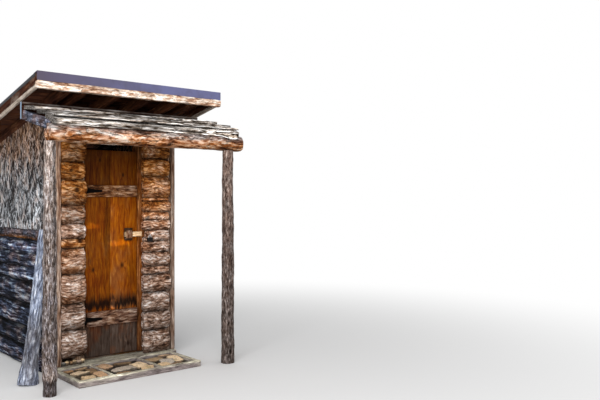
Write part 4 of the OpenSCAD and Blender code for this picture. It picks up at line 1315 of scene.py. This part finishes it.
@dataclass
class Awning:
    """The porch roof: ledger, rafters, split slabs, the peeled beam, its two poles and the leaning log."""

    pitch: float = math.radians(14.0)
    slab_thickness: float = 0.035
    ledger_face: float = 0.055
    slab_z: float = 2.277
    # boards of each slab: left and right end, then distance back from the slabs' front edge and height over
    # their underside at the board's front and at its rear, its thickness and its tone
    boards: tuple = (
        ("upper", (-0.862, 0.93, 0.41, 0.036, 0.634, 0.004, 0.03, 0.95)),
        ("middle", (-0.835, 0.94, 0.2, 0.036, 0.432, 0.002, 0.03, 0.15)),
        ("lower", (-0.845, 0.895, 0.0, 0.0, 0.2197, 0.0, 0.034, 0.8),
         (-0.83, 0.925, 0.05, 0.047, 0.19, 0.022, 0.017, 1.0)))
    rafters_wide: float = 0.06
    rafters_deep: float = 0.078
    beam_y: float = -0.6
    beam_depth: float = 0.14
    # where the beam is flattened over its two posts
    seats: tuple[float, float] = (-0.891, 0.76)
    # how high the left pole's foot is worn away, and how much width it keeps there
    worn_height: float = 0.09
    worn_share: float = 0.82
    lean: float = math.radians(12.0)
    lean_towards: float = math.radians(36.0)
    lean_foot: tuple[float, float] = (-0.868, -0.1875)
    lean_width: float = 0.12
    # shares of the leaning log's length, with how wide it is there
    lean_profile: tuple = ((0.0, 1.38), (0.07, 1.22), (0.17, 1.03), (0.35, 0.9), (0.65, 0.9), (1.0, 1.05))

    def build(self) -> None:
        """Builds the awning's pieces."""
        piece = Piece("ledger_board", Finish.LEDGER_BOARD, "roof_timber", "awning_ledger")
        piece.box(edge=0.004, wave=0.001)
        piece.finished()
        coat(Finish.STRIP_METAL, "ledger_strap")
        self.rafters()
        self.slabs()
        self.beam()
        self.poles()
        self.leaning_log()

    def rafters(self) -> None:
        """Builds the four awning rafters."""
        piece = Piece("awning_rafter_poles", Finish.RAIL_LOG, "awning_wood", "awning_rafters")
        low, high = piece.low, piece.high
        for i in range(4):
            x = low[0] + 0.031 + i * (high[0] - low[0] - 0.062) / 3
            z0 = high[2] - 0.042
            z1 = z0 - math.tan(self.pitch) * (high[1] - low[1]) + 0.01
            piece.stick(
                (x, high[1], z0), (x, low[1], z1), DOWN, self.rafters_deep, self.rafters_wide, edge=0.008)
        piece.finished()

    def slabs(self) -> None:
        """Builds the three slabs, each of split boards whose front edge rests on the one before."""
        fall, tilt = math.tan(self.pitch), math.cos(self.pitch)
        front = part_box("awning_slab_lower")[0][1]
        for name, *boards in self.boards:
            piece = Piece(f"split_slab_{name}", Finish.AWNING_SLAB, "awning_wood", f"awning_slab_{name}")
            for x0, x1, d0, n0, d1, n1, thick, tone in boards:
                nose, rear = (Vector((0, front + d, self.slab_z + fall * (front + d + self.ledger_face) + (
                    n + thick / 2 - self.slab_thickness) / tilt)) for d, n in ((d0, n0), (d1, n1)))
                mid, run = (nose + rear) / 2, rear - nose
                # painted shadow darkens a board's left end and a lifted board's underside
                end, under = 0.004 - (x1 - x0) / 2, 0.004 if n0 > 0.02 else thick
                piece.stick(
                    (x0, mid.y, mid.z), (x1, mid.y, mid.z), (0, -run.z, run.y), thick, run.length,
                    form=Form.HALF_LOG, cell=0.007, cell_long=4.0, wave=0.004, wave_size=0.08, relief=0.002,
                    relief_size=0.014, groove=0.006, round_end=0.03, tone=tone, edge_dirt=0.0,
                    gaps=lambda co: 0.75 if co.x < end else 0.9 if co.y > under else 0.0,
                    shape=self._drooped if d0 == 0.0 else None)
            piece.finished()

    @staticmethod
    def _drooped(co: Vector) -> Vector:
        """Lets the lowest board's front edge hang down to the beam, and its right-hand end over it.

        Args:
            co: A point in the board's own frame, with the front edge at -Z and the upper side at -Y.

        Returns:
            The point moved.
        """
        right, forward = smooth((co.x - 0.62) / 0.2), smooth(-co.z / 0.08)
        co.y += (0.009 + 0.026 * right) * forward if co.y > 0 else 0.012 * right * (forward - 1)
        return co

    def beam(self) -> None:
        """Builds the peeled front beam, flat on top and over its posts, and wavy below."""
        piece = Piece("peeled_front_beam", Finish.PEELED_BEAM, "beam_wood", "porch_beam")
        low, high = piece.low, piece.high
        y, z = self.beam_y, (low[2] + high[2]) / 2
        piece.stick(
            (low[0] + 0.02, y, z), (high[0] - 0.006, y, z), FRONT, self.beam_depth, high[2] - low[2] - 0.004,
            form=Form.POLE, wave=0.012, wave_size=0.1, relief=0.004, relief_size=0.03, round_end=0.03,
            shape=lambda co: self._squared(co, high[2] - z))
        piece.finished()

    def _squared(self, co: Vector, top: float) -> Vector:
        """Flattens the beam's top and its seats over the posts.

        Args:
            co: A point in the beam's own frame.
            top: Height of the flat top over the beam's middle.

        Returns:
            The point moved.
        """
        seat = max(smooth(1.6 - abs(co.x - x) / 0.1) for x in self.seats)
        co.z = max(-top, min(co.z * (1.12 if co.z > 0 else 1.03 + 0.09 * seat), top))
        return co

    def poles(self) -> None:
        """Builds the two porch poles, the left one with a rotted foot under a ragged collar."""
        for name, finish, taper in (("left", Finish.LEFT_POLE, 0.28), ("right", Finish.RIGHT_POLE, 0.176)):
            piece = Piece(f"{name}_pole", finish, "post_bark", f"{name}_porch_post")
            low, high = piece.low, piece.high
            x, y = (low[0] + high[0]) / 2, (low[1] + high[1]) / 2
            collar = (low[2] - high[2]) / 2 + self.worn_height
            thick = high[0] - low[0] - 0.006
            piece.stick(
                (x, y, low[2]), (x, y, high[2]), FRONT, thick, thick, form=Form.POLE, cell=0.01, wave=0.006,
                wave_size=0.07, relief=0.004, relief_size=0.018, taper=taper,
                shape=(lambda co: self._worn(co, collar)) if name == "left" else None)
            piece.finished()

    def _worn(self, co: Vector, collar: float) -> Vector:
        """Draws the pole in under its collar, with the foot at -X; gives the point moved."""
        wide = self.worn_share + (1 - self.worn_share) * smooth((co.x - collar) / 0.05)
        return Vector((co.x, co.y * wide, co.z * wide))

    def leaning_log(self) -> None:
        """Builds the bare log that leans on the corner, flared at its foot and flat towards the house."""
        piece = Piece("leaning_half_log", Finish.BARE_LOG, "leaning_wood", "leaning_log")
        low, high = Vector(piece.low), Vector(piece.high)
        run = Vector((math.cos(self.lean_towards), math.sin(self.lean_towards), 0.0))
        foot = Vector((*self.lean_foot, 0.0))
        top = foot + run * math.tan(self.lean) * high[2] + Vector((0, 0, high[2]))
        length = (top - foot).length
        piece.stick(
            foot, top, -run, self.lean_width, self.lean_width, form=Form.POLE, cell=0.01, wave=0.008,
            wave_size=0.13, relief=0.004, groove=0.005, groove_size=0.045, room=(low, high), tone=0.5,
            shape=lambda co: self._flared(co, co.x / length + 0.5))
        piece.finished()

    def _flared(self, co: Vector, share: float) -> Vector:
        """Gives the leaning log its waist, its flared foot and the flat side that lies on the corner.

        Args:
            co: A point in the log's own frame, with the house at +Y.
            share: How far up the log it is, from 0 to 1.

        Returns:
            The point moved.
        """
        share, grown = min(1.0, max(0.0, share)), 1.0
        for (a, wa), (b, wb) in zip(self.lean_profile, self.lean_profile[1:]):
            if a <= share <= b:
                grown = wa + (wb - wa) * (share - a) / (b - a)
        return Vector((co.x, min(co.y * grown, 0.057), co.z * grown))


@dataclass
class Doorstep:
    """The doorstep: a low frame with three bays of flat stones on gravel."""

    # sides of the frame's long boards, left and right and then front and back, and of its short ones
    ends: tuple[float, float] = (-0.607, 0.53)
    rails: tuple = ((-0.587, -0.549), (-0.0903, -0.0303))
    ribs: tuple = ((-0.607, -0.569), (-0.302, -0.28), (0.143, 0.165), (0.492, 0.53))
    # share of its full size that keeps each stone clear of the next
    packed: float = 0.92
    # middle x and y, width, depth and turn of each flat stone
    places: tuple = (
        (-0.475, -0.265, 0.15, 0.12, 20), (-0.48, -0.47, 0.12, 0.11, -25), (-0.35, -0.42, 0.085, 0.15, 10),
        (-0.355, -0.25, 0.085, 0.13, -8), (-0.52, -0.16, 0.08, 0.09, 0), (-0.395, -0.14, 0.12, 0.07, 12),
        (-0.12, -0.37, 0.23, 0.15, 8), (0.055, -0.33, 0.13, 0.14, 32), (0.06, -0.48, 0.13, 0.1, -12),
        (-0.2, -0.19, 0.13, 0.13, 24), (-0.035, -0.18, 0.16, 0.11, -18), (-0.18, -0.495, 0.15, 0.07, 5),
        (0.25, -0.23, 0.15, 0.14, 14), (0.31, -0.37, 0.14, 0.12, -22), (0.425, -0.3, 0.11, 0.15, 6),
        (0.225, -0.46, 0.11, 0.13, 35), (0.4, -0.155, 0.13, 0.09, -6), (0.34, -0.49, 0.1, 0.08, 15))

    def build(self) -> None:
        """Builds the frame, the flat stones, their gravel and the wedge stones."""
        piece = Piece("doorstep_long_boards", Finish.STEP_WOOD, "step_timber", "step_rails")
        for y0, y1 in self.rails:
            piece.box((self.ends[0], y0, 0.0), (self.ends[1], y1, 0.055), edge=0.004)
        piece.finished()
        piece = Piece("doorstep_short_boards", Finish.STEP_WOOD, "step_timber", "step_ends")
        for x0, x1 in self.ribs:
            piece.box((x0, -0.5487, 0.0), (x1, -0.0906, 0.052), 1, (-1, 0, 0), edge=0.004, wave=0.001)
        piece.finished()
        piece = Piece("flat_stones", Finish.FIELD_STONE, "step_stone", "step_stones")
        for i, (x, y, wide, deep, turn) in enumerate(self.places):
            size = (self.packed * wide, self.packed * deep, 0.046)
            piece.stone((x, y, 0.026), size, turn, 0.008, 0.054, uneven(i, 5))
        piece.finished()
        self.gravel()
        self.rubble()

    def gravel(self) -> None:
        """Builds the packed gravel that the flat stones lie in, one bed to a bay, near black as partly
        painted shade in the gaps.
        """
        piece = Piece("gravel_bed", Finish.GRAVEL, "step_stone")
        gap = 0.0005
        for (_, left), (right, _) in zip(self.ribs, self.ribs[1:]):
            x0, x1 = left + gap, right - gap
            piece.stick(
                (x0, -0.3197, 0.0125), (x1, -0.3197, 0.0125), (0, 0, 1), 0.022, 0.456, form=Form.HALF_LOG,
                cell=0.011, cell_long=1.0, wave=0.005, wave_size=0.05, relief=0.006, relief_size=0.014,
                room=((x0, -0.5485, 0.001), (x1, -0.0908, 0.036)))
        piece.finished()

    @staticmethod
    def rubble() -> None:
        """Builds the small stones wedged under the left logs."""
        piece = Piece("wedge_stones", Finish.FIELD_STONE, "step_stone")
        for i in range(6):
            middle = (-0.495 + i * 0.036, 0.022 - 0.012 * uneven(i, 3), 0.068)
            size = (0.024 + 0.016 * uneven(i, 3), 0.026, 0.028 + 0.016 * uneven(i))
            piece.stone(middle, size, i * 37.0, 0.051, 0.112, 0.15 + 0.7 * uneven(i, 9))
        piece.finished()


@dataclass
class Door:
    """The plank door with its battens, strap hinges, wooden latch and padlock."""

    # left and right side and tone of each plank, and underside and top of each batten
    planks: tuple = ((-0.26, -0.0205, 0.3), (-0.0155, 0.252, 0.8))
    battens: tuple = ((1.5235, 1.6305), (0.351, 0.481))
    plank_z: tuple[float, float] = (0.075, 1.951)
    batten_x: tuple[float, float] = (-0.25, 0.245)
    # front of the battens, front of the planks and the planks' back
    faces: tuple[float, float, float] = (0.069, 0.094, 0.126)
    case_height: float = 0.042
    wire_radius: float = 0.003
    bow_radius: float = 0.012
    leg_length: float = 0.01

    def build(self) -> None:
        """Builds the door's pieces."""
        front, face, back = self.faces
        piece = Piece("door_plank_pair", Finish.DOOR_PLANK, "door_wood", "door_planks", "door")
        z0, z1 = self.plank_z
        for x0, x1, tone in self.planks:
            piece.box((x0, face, z0), (x1, back, z1), 2, edge=0.002, wave=0.0008, tone=tone)
        piece.finished()
        piece = Piece("door_batten_pair", Finish.DOOR_BATTEN, "batten_wood", "door_battens", "door")
        x0, x1 = self.batten_x
        for z0, z1 in self.battens:
            piece.box((x0, front, z0), (x1, face, z1), wave=0.0015)
        piece.finished()
        coat(Finish.BLACK_IRON, "hinge_straps", "hinge_pintles")
        self.latch()
        piece = Piece("rubbed_bolt", Finish.RUBBED_WOOD, "bolt_wood", "door_bolt", "bolt")
        # painted shade darkens the bolt's left end
        piece.box(edge=0.004, wave=0.0, gaps=lambda co: 1.0 if co.x < -0.07 else 0.0)
        piece.finished()
        coat(Finish.ZINC_WIRE, "padlock_staple")
        self.padlock()

    @staticmethod
    def latch() -> None:
        """Builds the latch block: two blocks over and under the bolt, darkened with painted shade, and a
        paler face plate.
        """
        piece = Piece("latch_keeper", Finish.DOOR_BATTEN, "batten_wood", "latch_block", "door")
        low, high = piece.low, piece.high
        bolt_low, bolt_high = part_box("door_bolt")
        gap, inset = 0.0005, 0.022
        front = bolt_low[1] - gap
        for z0, z1 in ((bolt_high[2] + gap, high[2]), (low[2], bolt_low[2] - gap)):
            # painted shade darkens the blocks over and under the bolt
            piece.box((low[0], front, z0), (high[0], high[1], z1), tone=0.0, gaps=lambda co: 0.9)
        piece.box(
            (low[0] + 0.009, low[1], low[2] + inset), (high[0] - 0.006, front - 0.0002, high[2] - inset), 2,
            tone=0.8)
        piece.finished()

    def padlock(self) -> None:
        """Builds the padlock: a black case with worn edges and a bright shackle through the staple."""
        case = Piece("padlock_case", Finish.LOCK_ENAMEL, "lock_body", "padlock")
        low, high = case.low, case.high
        case.box(low, (high[0], high[1], low[2] + self.case_height), edge=0.004, wave=0.0)
        case.finished()
        wire, bow = self.wire_radius, self.bow_radius
        middle = Vector(((low[0] + high[0]) / 2, (low[1] + high[1]) / 2, high[2] - wire - bow))
        shackle = Piece("padlock_shackle", Finish.ZINC_WIRE, "staple_steel")
        bm = shackle.bm
        foot = Matrix.Translation(middle + Vector((bow, 0, 0)))
        ring = bmesh.ops.create_circle(bm, segments=12, radius=wire, matrix=foot)["verts"]
        edges = list({e for v in ring for e in v.link_edges})
        arc = bmesh.ops.spin(bm, geom=ring + edges, cent=middle, axis=FRONT, angle=math.pi, steps=14)
        for loop in (edges, [g for g in arc["geom_last"] if isinstance(g, bmesh.types.BMEdge)]):
            leg = bmesh.ops.extrude_edge_only(bm, edges=loop)["geom"]
            verts = [g for g in leg if isinstance(g, bmesh.types.BMVert)]
            bmesh.ops.translate(bm, verts=verts, vec=(0, 0, -self.leg_length))
        bmesh.ops.holes_fill(bm, edges=bm.edges[:], sides=0)
        shackle.finished()


@dataclass
class Studio:
    """Camera, pale floor and soft light."""

    eye: tuple[float, float, float] = (-2.8776, -5.862, 1.4998)
    yaw_deg: float = 41.0173
    pitch_deg: float = -0.0426
    lens_mm: float = 41.464
    sky_strength: float = 0.66
    lamp_watts: float = 590.0
    lamp_size: float = 6.0
    lamp_place: tuple[float, float, float] = (-5.0, -6.3, 3.8)
    lamp_aim: tuple[float, float, float] = (0.0, 0.3, 1.0)

    def build(self) -> None:
        """Sets up the whole stage."""
        self.camera()
        self.floor()
        self.lights()

    @staticmethod
    def placed(name: str, data: bpy.types.ID) -> bpy.types.Object:
        """Adds an object to the scene.

        Args:
            name: Its name.
            data: Its mesh, camera or lamp.

        Returns:
            The object.
        """
        obj = bpy.data.objects.new(name, data)
        bpy.context.scene.collection.objects.link(obj)
        return obj

    def camera(self) -> None:
        """Places the camera where the photo was taken from."""
        data = bpy.data.cameras.new("camera")
        data.lens, data.sensor_width, data.clip_end = self.lens_mm, 36.0, 200.0
        cam = self.placed("camera", data)
        cam.location = self.eye
        cam.rotation_euler = (math.radians(90 + self.pitch_deg), 0.0, -math.radians(self.yaw_deg))
        bpy.context.scene.camera = cam

    def floor(self) -> None:
        """Lays a wide, pale, plain floor at ground level, which turns into the backdrop for the camera."""
        bm = bmesh.new()
        bmesh.ops.create_grid(bm, x_segments=1, y_segments=1, size=60.0)
        mesh = bpy.data.meshes.new("floor")
        bm.to_mesh(mesh)
        bm.free()
        tree = Shader(bpy.data.materials.new("pale_floor"))
        skin = tree.put("BsdfPrincipled", {"Base Color": (0.8, 0.8, 0.8, 1.0), "Roughness": 0.95})
        far = tree.put("VectorMath LENGTH", (tree.put("TexCoord", out="Object"),), "Value")
        fade = tree.put("MapRange", (far, 1.8, 7.0, 0.0, 1.0), interpolation_type="SMOOTHSTEP")
        seen = tree.put("LightPath", out="Is Camera Ray")
        fade = tree.put("Math MULTIPLY", (fade, seen))
        white = tree.put("Emission", {"Color": (1.0, 1.0, 1.0, 1.0), "Strength": 1.0})
        tree.put("OutputMaterial", (tree.put("MixShader", (fade, skin, white)),))
        mesh.materials.append(tree.owner)
        self.placed("floor", mesh)

    def lights(self) -> None:
        """Lights the scene with a soft sky and one broad lamp."""
        world = bpy.data.worlds.new("studio_sky")
        bpy.context.scene.world = world
        tree = Shader(world)
        seen = tree.put("LightPath", out="Is Camera Ray")
        strength = tree.put("MapRange", (seen, 0.0, 1.0, self.sky_strength, 1.0))
        sky = tree.put("Background", {"Color": (1.0, 1.0, 1.0, 1.0), "Strength": strength})
        tree.put("OutputWorld", (sky,))
        data = bpy.data.lights.new("broad_lamp", "AREA")
        data.energy, data.size = self.lamp_watts, self.lamp_size
        lamp = self.placed("broad_lamp", data)
        lamp.location = self.lamp_place
        lamp.rotation_euler = (Vector(self.lamp_aim) - lamp.location).to_track_quat("-Z", "Y").to_euler()


def main() -> None:
    """Builds the outhouse and its stage in order."""
    logging.basicConfig(level=logging.INFO, format="%(message)s")
    bpy.context.scene.view_settings.view_transform = "Standard"
    for part in (Studio(), Inside(), Walls(), FrontWall(), Roof(), Awning(), Doorstep(), Door()):
        part.build()
        LOG.info("built %s", type(part).__name__)


if __name__ == "__main__":
    main()
